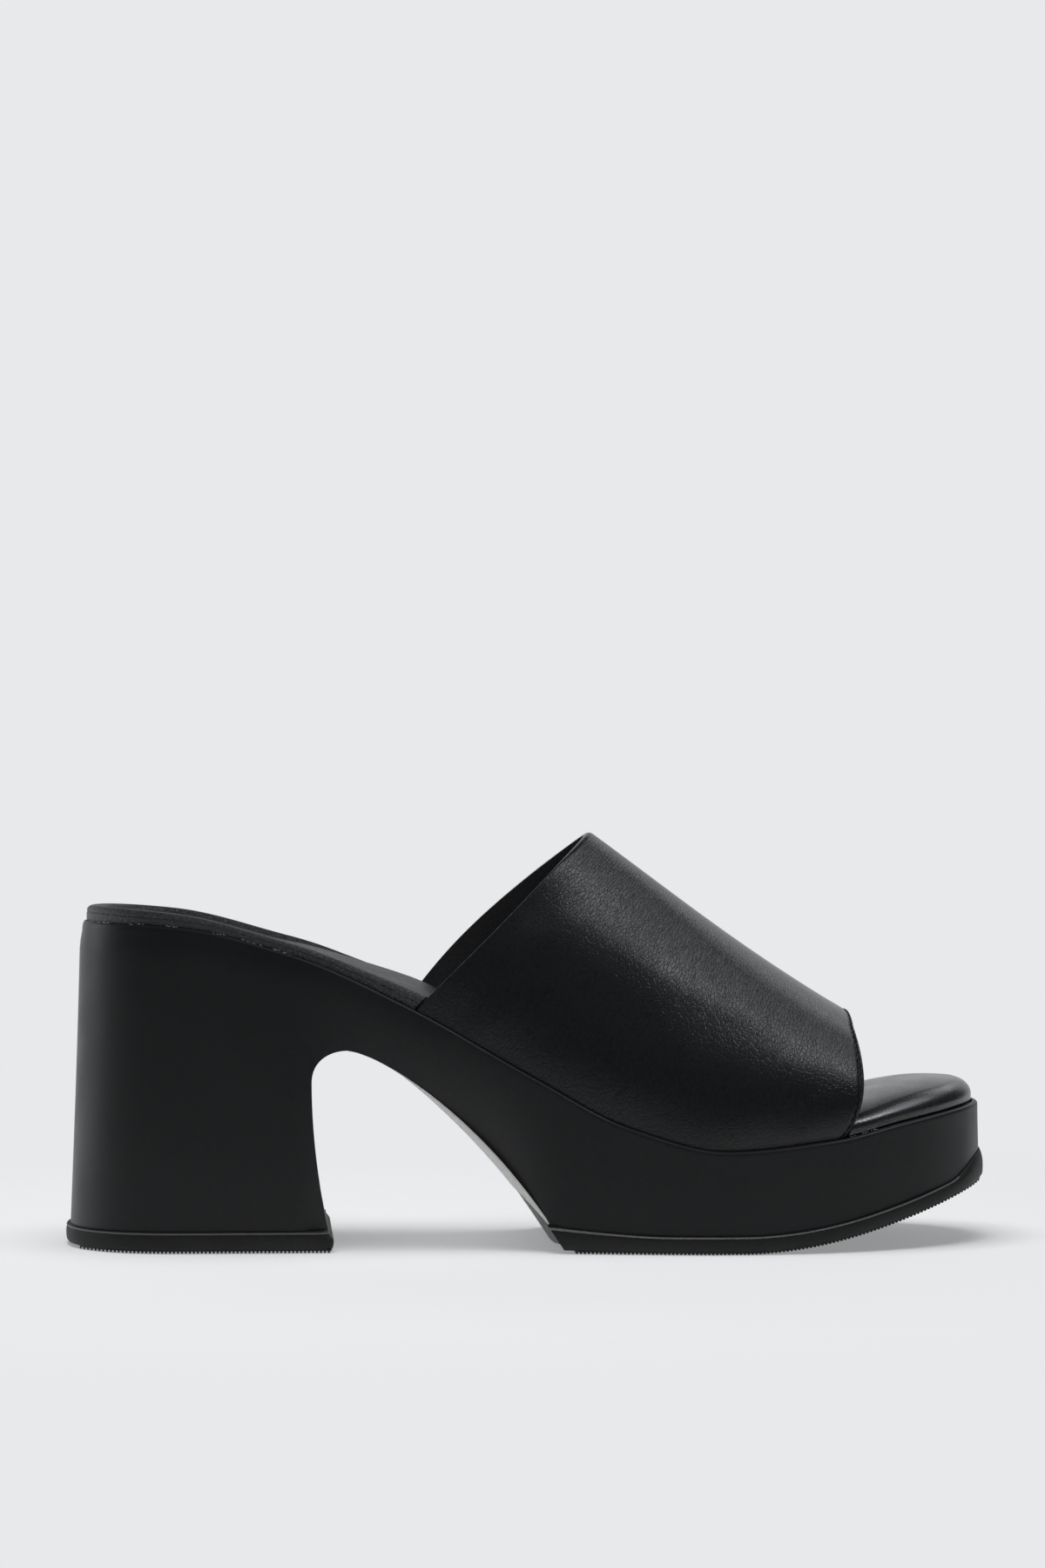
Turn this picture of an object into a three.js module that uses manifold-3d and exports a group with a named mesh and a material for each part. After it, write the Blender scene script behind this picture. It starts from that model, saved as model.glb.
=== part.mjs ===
// A platform mule for the right foot: one wide strap over a padded insole, on a moulded sole whose platform
// and block heel are one piece, with a rubber outsole, a heel top piece and a pale panel under the arch.
// Millimetres. +X runs to the toe, +Y to the inner side of the foot, +Z up, with the floor at Z 0.
// Shares along the shoe are counted from the back of the heel's top edge to the toe's.

import * as THREE from "three";
import { mergeVertices } from "three/addons/utils/BufferGeometryUtils.js";
import Module from "manifold-3d";

const wasm = await Module();
wasm.setup();

// Sole, in plan and in height, at the top edge of its wall
const soleLength = 246.2;
const heelWidth = 61.5;
const waistWidth = 60;
const ballWidth = 88;
const toeWidth = 77;
const heelRound = 27;
const toeRoundOuter = 47;
const toeRoundInner = 33;
const toeShift = 5;
const heelHeight = 87.6;
const ballHeight = 27.2;
const toeHeight = 37;

// Sole wall
const heelFlare = 2.5;
const toeFlare = 0.3;
const wallRound = 0.8;
const lipWidth = 1.5;
const trayDepth = 1.2;

// Arch, cut through the sole from side to side
const breastReach = 68.1;
const breastLean = 5.6;
const archHeight = 53.5;
const archRound = 9.4;
const archReach = 126.3;
const archFootHeight = 6.8;
const archFootSlope = 1.5;

// Outsole and heel top piece
const topPieceThickness = 5.6;
const outsoleThickness = 4.8;
const toeThinning = 1.1;
const outsoleRearRise = 2.3;
const outsoleRearEase = 30;
const beadWidth = 1.2;
const breastBead = 0.8;
const springStart = 177;
const toeSpring = 17.2;

// Panel under the arch, and the outsole's tongue that meets it
const panelInset = 1;
const panelEdge = 0.4;
const panelCrownRear = 0.3;
const panelCrownFront = 1.9;
const tongueThickness = 2.3;
const tongueReach = 4.2;
const tongueBow = 3.4;
const tongueSink = 4.9;
const panelStart = 1.4;
const panelPlay = 0.6;

// Insole
const insoleRim = 5;
const insoleRound = 1.5;
const seatCup = 1.5;
const toeCrown = 5;
const archSupport = 4;

// Strap
const strapWall = 1.9;
const strapBack = 90.2;
const strapFront = 204.5;
const collarCrownReach = 138.6;
const collarCrownHeight = 111.3;
const collarSweep = 2.6;
const openingCrownReach = 210.4;
const openingCrownHeight = 61.8;
const openingBow = 3.2;
const ridgeSag = 1.5;
const ridgeShift = 3;
const sideBulge = 0.018;
const lipHold = 0.6;
const lastingMargin = 11;
const lastingRound = 2.6;
const lastingPlay = 0.1;

const gap = 0.3;

// How finely the curved faces are cut
const OUTLINE_STEPS = 34;
const ARCH_STEPS = 22;
const STRAP_STEPS = 20;
const STRAP_ARC_STEPS = 20;

// Half widths of the sole in plan, as shares of a named width
const PLAN = [
  { at: 0, width: heelWidth, outer: 0.48, inner: 0.48 },
  { at: 0.15, width: heelWidth, outer: 0.5, inner: 0.5 },
  { at: 0.29, width: heelWidth, outer: 0.505, inner: 0.48 },
  { at: 0.43, width: waistWidth, outer: 0.555, inner: 0.445 },
  { at: 0.56, width: waistWidth, outer: 0.655, inner: 0.53 },
  { at: 0.7, width: ballWidth, outer: 0.5, inner: 0.445 },
  { at: 0.78, width: ballWidth, outer: 0.478, inner: 0.475 },
  { at: 0.9, width: toeWidth, outer: 0.45, inner: 0.52 },
  { at: 1, width: toeWidth, outer: 0.38, inner: 0.47 },
];

// Height of the wall's top edge: the heel's share of the drop to the ball, and the toe's share of its rise
const EDGE = [
  { at: 0, drop: 1, rise: 0 },
  { at: 0.102, drop: 0.982, rise: 0 },
  { at: 0.232, drop: 0.857, rise: 0 },
  { at: 0.361, drop: 0.623, rise: 0 },
  { at: 0.493, drop: 0.32, rise: 0 },
  { at: 0.597, drop: 0.1, rise: 0 },
  { at: 0.7, drop: 0, rise: 0 },
  { at: 0.819, drop: 0, rise: 0.26 },
  { at: 0.9, drop: 0, rise: 0.66 },
  { at: 1, drop: 0, rise: 1 },
];

// Insole: shares of the rim's height, the heel's cup, the toe's crown and the arch support
const SEAT = [
  { at: 0, rim: 1, cup: 0.6, crown: 0, support: 0 },
  { at: 0.12, rim: 0.72, cup: 1, crown: 0, support: 0 },
  { at: 0.2, rim: 0.62, cup: 0.8, crown: 0, support: 0.1 },
  { at: 0.28, rim: 0.68, cup: 0.45, crown: 0.1, support: 0.5 },
  { at: 0.4, rim: 0.95, cup: 0, crown: 0.3, support: 1 },
  { at: 0.6, rim: 0.8, cup: 0, crown: 0.45, support: 0.3 },
  { at: 0.75, rim: 0.75, cup: 0, crown: 0.75, support: 0 },
  { at: 0.92, rim: 0.9, cup: 0, crown: 1, support: 0 },
  { at: 1, rim: 0.95, cup: 0, crown: 0.8, support: 0 },
];

// Strap: the powers of its arched sections, low for a round top and high for square shoulders
const ARCHED = [
  { at: 0, across: 2, up: 2.05 },
  { at: 0.5, across: 2.15, up: 2.1 },
  { at: 1, across: 2.3, up: 2.15 },
];

const clamp01 = (v) => Math.min(1, Math.max(0, v));
const mix = (a, b, t) => a + (b - a) * t;
const point = (x, y, z) => new THREE.Vector3(x, y, z);

// A smooth value of a table's column that never swings past its rows.
function through(rows, column, at) {
  const value = (i) => column(rows[i]);
  const slope = (i) => (value(i + 1) - value(i)) / (rows[i + 1].at - rows[i].at);
  const tangent = (i) => {
    if (i === 0) return slope(0);
    if (i === rows.length - 1) return slope(i - 1);
    const before = slope(i - 1);
    const after = slope(i);
    return before * after <= 0 ? 0 : (2 * before * after) / (before + after);
  };
  const s = Math.min(rows[rows.length - 1].at, Math.max(rows[0].at, at));
  const i = Math.min(rows.length - 2, rows.filter((r) => r.at <= s).length - 1);
  const step = rows[i + 1].at - rows[i].at;
  const t = (s - rows[i].at) / step;
  return (
    value(i) * (1 + 2 * t) * (1 - t) ** 2 +
    tangent(i) * step * t * (1 - t) ** 2 +
    value(i + 1) * t * t * (3 - 2 * t) +
    tangent(i + 1) * step * t * t * (t - 1)
  );
}

// A closed solid from loose triangles, with shared corners merged and slivers without area dropped.
function solidOf(triangles) {
  const loose = new THREE.BufferGeometry().setFromPoints(triangles.flat());
  const merged = mergeVertices(loose, 1e-4);
  const index = merged.index.array;
  const kept = [];
  for (let i = 0; i < index.length; i += 3) {
    const [a, b, c] = index.subarray(i, i + 3);
    if (a !== b && b !== c && c !== a) kept.push(a, b, c);
  }
  return new wasm.Manifold(
    new wasm.Mesh({
      numProp: 3,
      vertProperties: merged.attributes.position.array,
      triVerts: new Uint32Array(kept),
    }),
  );
}

// Two triangles for each cell of a grid of points.
function skin(grid, flipped = false) {
  const triangles = [];
  for (let i = 0; i + 1 < grid.length; i += 1) {
    for (let j = 0; j + 1 < grid[i].length; j += 1) {
      const [a, b] = [grid[i][j], grid[i][j + 1]];
      const [d, c] = [grid[i + 1][j], grid[i + 1][j + 1]];
      triangles.push(...(flipped ? [[a, c, b], [a, d, c]] : [[a, b, c], [a, c, d]]));
    }
  }
  return triangles;
}

// A slab between two grids of the same size, whose faces point from under to over.
function slab(over, under) {
  const column = (grid, j) => grid.map((row) => row[j]);
  const last = over.length - 1;
  const end = over[0].length - 1;
  return solidOf([
    ...skin(over),
    ...skin(under, true),
    ...skin([under[0], over[0]]),
    ...skin([over[last], under[last]]),
    ...skin([column(over, 0), column(under, 0)]),
    ...skin([column(under, end), column(over, end)]),
  ]);
}

// The largest body of a solid, without the crumbs that a cut leaves.
const largest = (solid) => solid.decompose().sort((a, b) => b.volume() - a.volume())[0];

// Sole in plan

// A rounded end: 0 at the tip and 1 once the round is passed.
function rounding(distance, reach, power) {
  const left = 1 - clamp01(distance / reach);
  return (1 - left ** power) ** (1 / power);
}

// The wall's top edge at a share of the length: side -1 is the outer side of the foot and 1 the inner.
function edgeInPlan(at, side) {
  const x = soleLength * at;
  const half = through(PLAN, (r) => r.width * (side < 0 ? r.outer : r.inner), at);
  const heel = rounding(x, heelRound, 2.25);
  const toe = rounding(soleLength - x, side < 0 ? toeRoundOuter : toeRoundInner, 2.35);
  return point(x, mix(toeShift, side * half, toe) * heel, 0);
}

const along = (i) => (1 - Math.cos((Math.PI * i) / OUTLINE_STEPS)) / 2;

// Points round the sole, out along the outer side and back along the inner, moved outwards by an offset.
function ring(offsetAt) {
  const station = (k) =>
    k <= OUTLINE_STEPS
      ? edgeInPlan(along(k), -1)
      : edgeInPlan(along(2 * OUTLINE_STEPS - k), 1);
  const count = 2 * OUTLINE_STEPS;
  return Array.from({ length: count }, (_, k) => {
    const here = station(k);
    const way = station((k + 1) % count).sub(station((k + count - 1) % count));
    const outwards = point(way.y, -way.x, 0).normalize();
    return here.clone().addScaledVector(outwards, offsetAt(here.x / soleLength));
  });
}

// A solid from rings that rise, closed below and above by faces across the shoe; lift raises the top between
// its edges, given the share of the length and the place across from -1 outside to 1 inside.
function lofted(rings, cells = 1, lift = () => 0) {
  const closed = rings.map((r) => [...r, r[0]]);
  const across = (r, flat) =>
    Array.from({ length: OUTLINE_STEPS + 1 }, (_, i) => {
      const outer = r[i];
      const inner = r[(2 * OUTLINE_STEPS - i) % (2 * OUTLINE_STEPS)];
      const count = flat ? 1 : cells;
      return Array.from({ length: count + 1 }, (_, j) => {
        const place = outer.clone().lerp(inner, j / count);
        const side = (2 * j) / count - 1;
        if (!flat && Math.abs(side) < 1) place.z += lift(along(i), side);
        return place;
      });
    });
  return solidOf([
    ...skin(closed, false),
    ...skin(across(rings[0], true), false),
    ...skin(across(rings[rings.length - 1], false), true),
  ]);
}

// Heights along the sole

function edgeHeight(at) {
  const drop = through(EDGE, (r) => r.drop, at);
  const rise = through(EDGE, (r) => r.rise, at);
  return ballHeight + (heelHeight - ballHeight) * drop + (toeHeight - ballHeight) * rise;
}

const trayHeight = (at) => edgeHeight(at) - trayDepth;

// How far a share of the length is into the toe's spring: 0 where it starts and 1 at the tip.
const intoSpring = (at) => clamp01((soleLength * at - springStart) / (soleLength - springStart));

// The underside of outsole and top piece: flat on the floor, then up to the toe.
function floorHeight(at) {
  const t = intoSpring(at);
  return toeSpring * t * t * (1.5 - 0.5 * t);
}

// The joint line between the sole and what it stands on.
function plateHeight(at) {
  const x = soleLength * at;
  const rise = outsoleRearRise * clamp01(1 - (x - archReach) / outsoleRearEase) ** 1.5;
  const forefoot = outsoleThickness + rise - toeThinning * intoSpring(at);
  const underHeel = x < (breastReach + archReach) / 2;
  return floorHeight(at) + (underHeel ? topPieceThickness : forefoot);
}

// How far the wall stands out past its top edge, at a share of its height.
const flareAt = (at, up) => mix(heelFlare, toeFlare, clamp01(at)) * (1 - up) ** 1.25;

// Arch

// Where the arch's round top ends and its long slope to the ball begins, and where the slope ends.
const archTop = new THREE.Vector2(breastReach - breastLean + archRound, archHeight);
const archFoot = new THREE.Vector2(archReach, archFootHeight);

function archSlope() {
  const run = archFoot.x - archTop.x;
  const level = run * 0.12;
  const steep = run * 0.4;
  return new THREE.CubicBezierCurve(
    archTop,
    new THREE.Vector2(archTop.x + level, archHeight),
    new THREE.Vector2(archFoot.x - steep, archFoot.y + steep * archFootSlope),
    archFoot,
  );
}

// What cuts the arch: breast, round top and slope seen from the side, narrowed all round by a length.
function archCutter(narrowed = 0) {
  const below = heelHeight * 0.1;
  const shoulder = archHeight - archRound * 0.9;
  const breastTop = breastReach - breastLean + narrowed;
  const shape = new THREE.Shape();
  shape.moveTo(breastReach + narrowed + breastLean * 0.1, -below);
  shape.lineTo(breastReach + narrowed, 0);
  shape.quadraticCurveTo(breastTop, shoulder * 0.55, breastTop, shoulder);
  shape.bezierCurveTo(
    breastTop,
    archHeight - archRound * 0.25,
    archTop.x - archRound * 0.45,
    archHeight - narrowed,
    archTop.x,
    archHeight - narrowed,
  );
  const slope = archSlope();
  const sunk = slope.getPoints(ARCH_STEPS).map((p, i) => {
    const way = slope.getTangent(i / ARCH_STEPS);
    return p.add(new THREE.Vector2(way.y, -way.x).multiplyScalar(narrowed));
  });
  sunk.slice(1).forEach((p) => shape.lineTo(p.x, p.y));
  const last = sunk[sunk.length - 1];
  const drop = last.y + below;
  shape.lineTo(last.x + drop / archFootSlope, -below);
  const depth = ballWidth * 2;
  const cutter = new THREE.ExtrudeGeometry(shape, { depth, bevelEnabled: false, curveSegments: 9 });
  cutter.rotateX(Math.PI / 2).translate(0, depth / 2, 0);
  return solidOfGeometry(cutter);
}

function solidOfGeometry(geometry) {
  const flat = geometry.index ? geometry.toNonIndexed() : geometry;
  const at = flat.attributes.position;
  const corner = (i) => new THREE.Vector3().fromBufferAttribute(at, i);
  const count = at.count / 3;
  return solidOf(
    Array.from({ length: count }, (_, i) => [corner(3 * i), corner(3 * i + 1), corner(3 * i + 2)]),
  );
}

// A point under the arch: u along the slope, w across from -1 outside to 1 inside, depth below the sole's face.
function underArch(u, w, depth, inset) {
  const slope = archSlope();
  const way = slope.getTangent(Math.min(1, u));
  const past = Math.max(0, u - 1) * slope.getLength();
  const p = slope.getPoint(Math.min(1, u)).addScaledVector(way, past);
  const at = p.x / soleLength;
  const up = (p.y - plateHeight(at)) / (edgeHeight(at) - plateHeight(at));
  const half = (side) =>
    side * edgeInPlan(at, side).y + flareAt(at, clamp01(up)) - inset;
  const y = mix(-half(-1), half(1), (w + 1) / 2);
  return point(p.x + way.y * depth, y, p.y - way.x * depth);
}

// A length along the slope as a share of it, and how far down the outsole's tongue starts: its edge is bowed.
const slopeShare = (length) => length / archSlope().getLength();
const tongueStart = (w) => 1 - slopeShare(tongueReach + tongueBow * (1 - w * w));

// Strap

// Where the strap's outer face stands beside the lip, at a distance from the heel and on one side.
function besideLip(x, side) {
  const edge = edgeInPlan(x / soleLength, side);
  return edge.y - side * (lipWidth + gap + lastingPlay);
}

// Where it meets the lip, at a share of the strap's length.
function strapFoot(s, side) {
  const x = mix(strapBack, strapFront, s);
  return point(x, besideLip(x, side), edgeHeight(x / soleLength));
}

function strapCrown(s) {
  const sag = ridgeSag * Math.sin(Math.PI * clamp01(s) ** 1.3);
  return point(
    mix(collarCrownReach, openingCrownReach, s),
    ridgeShift,
    mix(collarCrownHeight, openingCrownHeight, s) - sag,
  );
}

// The arched part of a section: turn runs from 0 at the outer foot to 1 at the inner.
function strapArch(s, turn) {
  const outer = strapFoot(s, -1);
  const inner = strapFoot(s, 1);
  const rise = strapCrown(s).sub(outer.clone().lerp(inner, 0.5));
  const angle = Math.PI * turn;
  const across = through(ARCHED, (r) => r.across, s);
  const upward = through(ARCHED, (r) => r.up, s);
  const c = Math.cos(angle);
  const b = Math.abs(Math.sin(angle)) ** (2 / upward);
  const bulge = 1 + sideBulge * Math.sin(Math.PI * clamp01(b / 0.6));
  const a = -Math.sign(c) * Math.abs(c) ** (2 / across) * bulge;
  const sweep = collarSweep * c * (1 - clamp01(s)) ** 2 * Math.sin(Math.PI * clamp01(b));
  const bow = openingBow * s * s * Math.sin(Math.PI * clamp01(b / 0.9) ** 0.75) + sweep;
  const x = outer.x + rise.x * b;
  const own = THREE.MathUtils.smoothstep(b, 0, lipHold);
  const left = mix(besideLip(x, -1), outer.y, own);
  const right = mix(besideLip(x, 1), inner.y, own);
  const y = mix(left, right, (1 + a) / 2) + rise.y * b * b;
  return point(x + bow, y, outer.z + rise.z * b);
}

// The part below the lip, on one side: share 0 at the lip, then down, round and in under the insole to 1.
function strapTuck(s, side, share, extra) {
  const foot = strapFoot(s, side);
  const at = foot.x / soleLength;
  const bottom = trayHeight(at) - strapWall - lastingPlay;
  const straight = foot.z - bottom - lastingRound;
  const arc = (lastingRound * Math.PI) / 2;
  const total = straight + arc + lastingMargin - lastingRound + extra;
  const run = share * total;
  if (run <= straight) return foot.add(point(0, 0, -run));
  if (run <= straight + arc) {
    const turned = (run - straight) / lastingRound;
    const inwards = lastingRound * (1 - Math.cos(turned));
    return foot.add(
      point(0, -side * inwards, -straight - lastingRound * Math.sin(turned)),
    );
  }
  const inwards = lastingRound + run - straight - arc;
  return point(foot.x, foot.y - side * inwards, bottom);
}

// Shares of the tuck where a row of points is laid: its straight end, its bend and its flat margin.
const TUCK = [1, 0.66, 0.44, 0.39, 0.34, 0.29, 0.24, 0.12];

// A section of the strap's outer face from margin to margin, each place kept as a function of the share s.
function strapPlaces(extra) {
  const arcs = Array.from({ length: STRAP_ARC_STEPS + 1 }, (_, k) => k / STRAP_ARC_STEPS);
  return [
    ...TUCK.map((t) => (s) => strapTuck(s, -1, t, extra)),
    ...arcs.map((turn) => (s) => strapArch(s, turn)),
    ...[...TUCK].reverse().map((t) => (s) => strapTuck(s, 1, t, extra)),
  ];
}

// The strap's face moved out by an offset, longer by extra at its ends and margins.
function strapFace(offset, extra) {
  const places = strapPlaces(extra);
  const past = extra / (strapFront - strapBack);
  const step = 0.002;
  return Array.from({ length: STRAP_STEPS + 1 }, (_, i) => {
    const s = mix(-past, 1 + past, i / STRAP_STEPS);
    return places.map((place, k) => {
      const forwards = place(s + step).sub(place(s - step));
      const before = places[Math.max(0, k - 1)](s);
      const after = places[Math.min(places.length - 1, k + 1)](s);
      const outwards = forwards.cross(after.sub(before)).normalize();
      return place(s).addScaledVector(outwards, offset);
    });
  });
}

// Grown by a clearance it is what cuts its neighbours, longer still at its ends, where the foot kinks.
function strapSolid(grown = 0) {
  const extra = grown * 2;
  return slab(strapFace(-strapWall - grown, extra), strapFace(grown, extra));
}

// The pieces

function soleSolid() {
  const wall = (up) =>
    ring((at) => flareAt(at, up)).map((p) => {
      const at = clamp01(p.x / soleLength);
      const low = plateHeight(at) + gap;
      return p.setZ(mix(low, edgeHeight(at) - wallRound, up));
    });
  const rim = (inset, below) =>
    ring(() => -inset).map((p) => p.setZ(edgeHeight(clamp01(p.x / soleLength)) - below));
  const soft = wallRound * 0.29;
  const whole = lofted([
    ...[0, 0.2, 0.45, 0.72, 1].map(wall),
    rim(soft, soft),
    rim(wallRound, 0),
    rim(lipWidth, 0),
    rim(lipWidth, trayDepth),
  ]);
  return largest(whole.subtract(archCutter()).subtract(strapSolid(gap)));
}

function insoleSolid() {
  const edge = lipWidth + gap;
  const row = (inset, up) =>
    ring(() => -edge - inset).map((p) => {
      const at = clamp01(p.x / soleLength);
      const top = edgeHeight(at) + insoleRim * through(SEAT, (r) => r.rim, at);
      return p.setZ(mix(trayHeight(at) + gap, top, up));
    });
  const lift = (at, side) => {
    const cup = seatCup * through(SEAT, (r) => r.cup, at);
    const crown = toeCrown * through(SEAT, (r) => r.crown, at);
    const support = archSupport * through(SEAT, (r) => r.support, at);
    const ends = rounding(at, 0.08, 2) * rounding(1 - at, 0.13, 2);
    const bowl = (1 - Math.abs(side) ** 3) * crown - (1 - side * side) * cup;
    return ends * (bowl + support * clamp01(side) * (1 - side ** 4));
  };
  const rows = [
    row(insoleRound * 0.5, 0),
    row(0, 0.2),
    row(0, 0.62),
    row(insoleRound * 0.3, 0.87),
    row(insoleRound, 1),
  ];
  return largest(lofted(rows, 8, lift).subtract(strapSolid(gap)));
}

// Outsole and heel top piece are one plate that the arch cuts in two.
function plates() {
  const row = (stand, up) =>
    ring((at) => flareAt(at, 0) + stand).map((p) => {
      const at = clamp01(p.x / soleLength);
      return p.setZ(mix(floorHeight(at), plateHeight(at), up));
    });
  const plate = lofted([
    row(-beadWidth * 0.7, 0),
    row(beadWidth * 0.6, 0.18),
    row(beadWidth, 0.5),
    row(beadWidth, 0.8),
    row(beadWidth * 0.45, 1),
  ]);
  const [first, second] = plate.subtract(archCutter(breastBead)).decompose();
  const heelFirst = first.boundingBox().min[0] < second.boundingBox().min[0];
  return heelFirst ? [first, second] : [second, first];
}

function tongueSolid() {
  const rows = 5;
  const cells = 12;
  const grid = (depthAt) =>
    Array.from({ length: rows + 1 }, (_, i) =>
      Array.from({ length: cells + 1 }, (_, j) => {
        const w = (2 * j) / cells - 1;
        const u = mix(tongueStart(w), 1 + slopeShare(tongueSink), i / rows);
        return underArch(u, w, depthAt(w), panelInset);
      }),
    );
  const outer = grid((w) => mix(breastBead + gap, tongueThickness, 1 - w ** 4));
  return slab(outer, grid(() => gap));
}

function panelSolid() {
  const rows = 14;
  const cells = 8;
  const grid = (depthAt) =>
    Array.from({ length: rows + 1 }, (_, i) =>
      Array.from({ length: cells + 1 }, (_, j) => {
        const w = (2 * j) / cells - 1;
        const t = i / rows;
        const u = mix(slopeShare(panelStart), tongueStart(w) - slopeShare(panelPlay), t);
        return underArch(u, w, depthAt(w, t), panelInset);
      }),
    );
  const crowned = (w, t) => {
    const crown = mix(panelCrownRear, panelCrownFront, t);
    return gap + panelEdge + crown * (1 - w * w);
  };
  return slab(grid(crowned), grid(() => gap));
}

// Materials and meshes

const leather = new THREE.MeshStandardMaterial({ color: 0x1b1c1d, roughness: 0.5, metalness: 0 });
const cushion = new THREE.MeshStandardMaterial({ color: 0x232425, roughness: 0.55, metalness: 0 });
const moulded = new THREE.MeshStandardMaterial({ color: 0x1a1b1c, roughness: 0.6, metalness: 0 });
const rubber = new THREE.MeshStandardMaterial({ color: 0x1d1e1e, roughness: 0.75, metalness: 0 });
const pale = new THREE.MeshStandardMaterial({ color: 0xcfcdc6, roughness: 0.5, metalness: 0 });

function meshOf(name, solid, material) {
  const made = solid.getMesh();
  const geometry = new THREE.BufferGeometry();
  geometry.setAttribute("position", new THREE.BufferAttribute(made.vertProperties, 3));
  geometry.setIndex(new THREE.BufferAttribute(made.triVerts, 1));
  geometry.computeVertexNormals();
  const mesh = new THREE.Mesh(geometry, material);
  mesh.name = name;
  return mesh;
}

const [topPiece, forefootPlate] = plates();

const mule = new THREE.Group();
mule.add(
  meshOf("upper", strapSolid(), leather),
  meshOf("insole", insoleSolid(), cushion),
  meshOf("platform_sole", soleSolid(), moulded),
  meshOf("outsole", forefootPlate.add(tongueSolid()), rubber),
  meshOf("heel_top_piece", topPiece, rubber),
  meshOf("arch_panel", panelSolid(), pale),
);

// The origin is under the middle of the shoe, on the floor.
const bounds = new THREE.Box3().setFromObject(mule);
const middle = bounds.getCenter(new THREE.Vector3());
mule.position.set(-middle.x, -middle.y, -bounds.min.z);

export default mule;
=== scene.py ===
"""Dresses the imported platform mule: strap, padded footbed, moulded sole unit, rubber and arch panel.

Sizes are in millimetres in the last's own frame, as in the part's source: X runs from the back of the
heel's top edge to the toe, Y to the inner side of the foot and Z up from the floor. Meshes are placed in
metres.
"""

import logging
import math
from collections.abc import Callable, Sequence
from dataclasses import dataclass, field
from enum import Enum, IntEnum

import bmesh
import bpy
import numpy as np
from mathutils import Matrix, Vector

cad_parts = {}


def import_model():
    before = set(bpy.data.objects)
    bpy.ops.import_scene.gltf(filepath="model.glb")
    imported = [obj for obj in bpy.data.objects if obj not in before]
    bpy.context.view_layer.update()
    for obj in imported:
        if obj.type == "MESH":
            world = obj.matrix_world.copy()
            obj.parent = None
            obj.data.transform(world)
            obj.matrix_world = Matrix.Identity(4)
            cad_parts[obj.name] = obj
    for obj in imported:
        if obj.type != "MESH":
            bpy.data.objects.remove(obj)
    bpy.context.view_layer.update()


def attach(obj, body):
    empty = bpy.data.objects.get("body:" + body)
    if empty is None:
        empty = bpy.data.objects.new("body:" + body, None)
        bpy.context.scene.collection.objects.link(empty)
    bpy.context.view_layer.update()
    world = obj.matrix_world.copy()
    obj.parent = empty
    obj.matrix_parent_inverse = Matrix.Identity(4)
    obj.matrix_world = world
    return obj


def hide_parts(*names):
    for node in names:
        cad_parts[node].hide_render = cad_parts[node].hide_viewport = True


LOG = logging.getLogger("mule")
MM = 0.001
ORIGIN = np.array((-122.0, 1.194, 0.0))
BODY = "root"
Colour = tuple[float, float, float]


class Side(Enum):
    """The two sides of a right shoe, by the sign of Y."""

    OUTER = -1
    INNER = 1


class Slot(Enum):
    """The record's material slots."""

    STRAP = "strap_leather"
    FOOTBED = "footbed_leather"
    SOLE = "sole_unit"
    RUBBER = "outsole_rubber"
    PANEL = "arch_panel_pale"


class StrapFace(IntEnum):
    """The strap's own material slots."""

    LEATHER = 0
    LINING = 1
    EDGE = 2


def metres(points: np.ndarray) -> np.ndarray:
    """Places of the last's frame in metres, in the row frame."""
    return (np.asarray(points, float) + ORIGIN) * MM


def mix(low: np.ndarray | float, high: np.ndarray | float, share: np.ndarray | float) -> np.ndarray:
    """A value between two others, at a share of the way."""
    return low + (high - low) * share


def smooth(value: np.ndarray | float, low: float, high: float) -> np.ndarray:
    """An eased step from 0 at low to 1 at high."""
    t = np.clip((value - low) / (high - low), 0, 1)
    return t * t * (3 - 2 * t)


def bump_at(value: np.ndarray, centre: float, width: float) -> np.ndarray:
    """A soft hump of height 1 round a place, width being where it has fallen to about a third."""
    return np.exp(-(((value - centre) / width) ** 2))


def rounding(distance: np.ndarray, reach: float, power: float) -> np.ndarray:
    """A rounded end: 0 at the tip and 1 once the round is passed."""
    left = 1 - np.clip(distance / reach, 0, 1)
    return (1 - left**power) ** (1 / power)


def rolled(distance: np.ndarray, radius: np.ndarray | float) -> np.ndarray:
    """How far a face has dropped at a distance from its rolled edge."""
    return radius - np.sqrt(np.clip(radius**2 - np.clip(radius - distance, 0, radius) ** 2, 0, None))


def run_length(points: np.ndarray) -> np.ndarray:
    """The length run so far along a line of places, or down each column of a grid."""
    steps = np.linalg.norm(np.diff(points, axis=0), axis=-1)
    return np.concatenate((np.zeros((1, *steps.shape[1:])), np.cumsum(steps, axis=0)))


def value_at(at: float, run: np.ndarray, values: np.ndarray) -> np.ndarray:
    """A line's own row of values at a length run along it."""
    return np.array([np.interp(at, run, column) for column in values.T])


def ways_out(ring: np.ndarray) -> np.ndarray:
    """The level directions that point out of a ring, one for each place.

    Args:
        ring: its places.

    Returns:
        The unit directions.
    """
    way = np.roll(ring, -1, 0) - np.roll(ring, 1, 0)
    out = np.stack((way[:, 1], -way[:, 0], 0 * way[:, 0]), 1)
    return out / np.linalg.norm(out, axis=1, keepdims=True)


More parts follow.
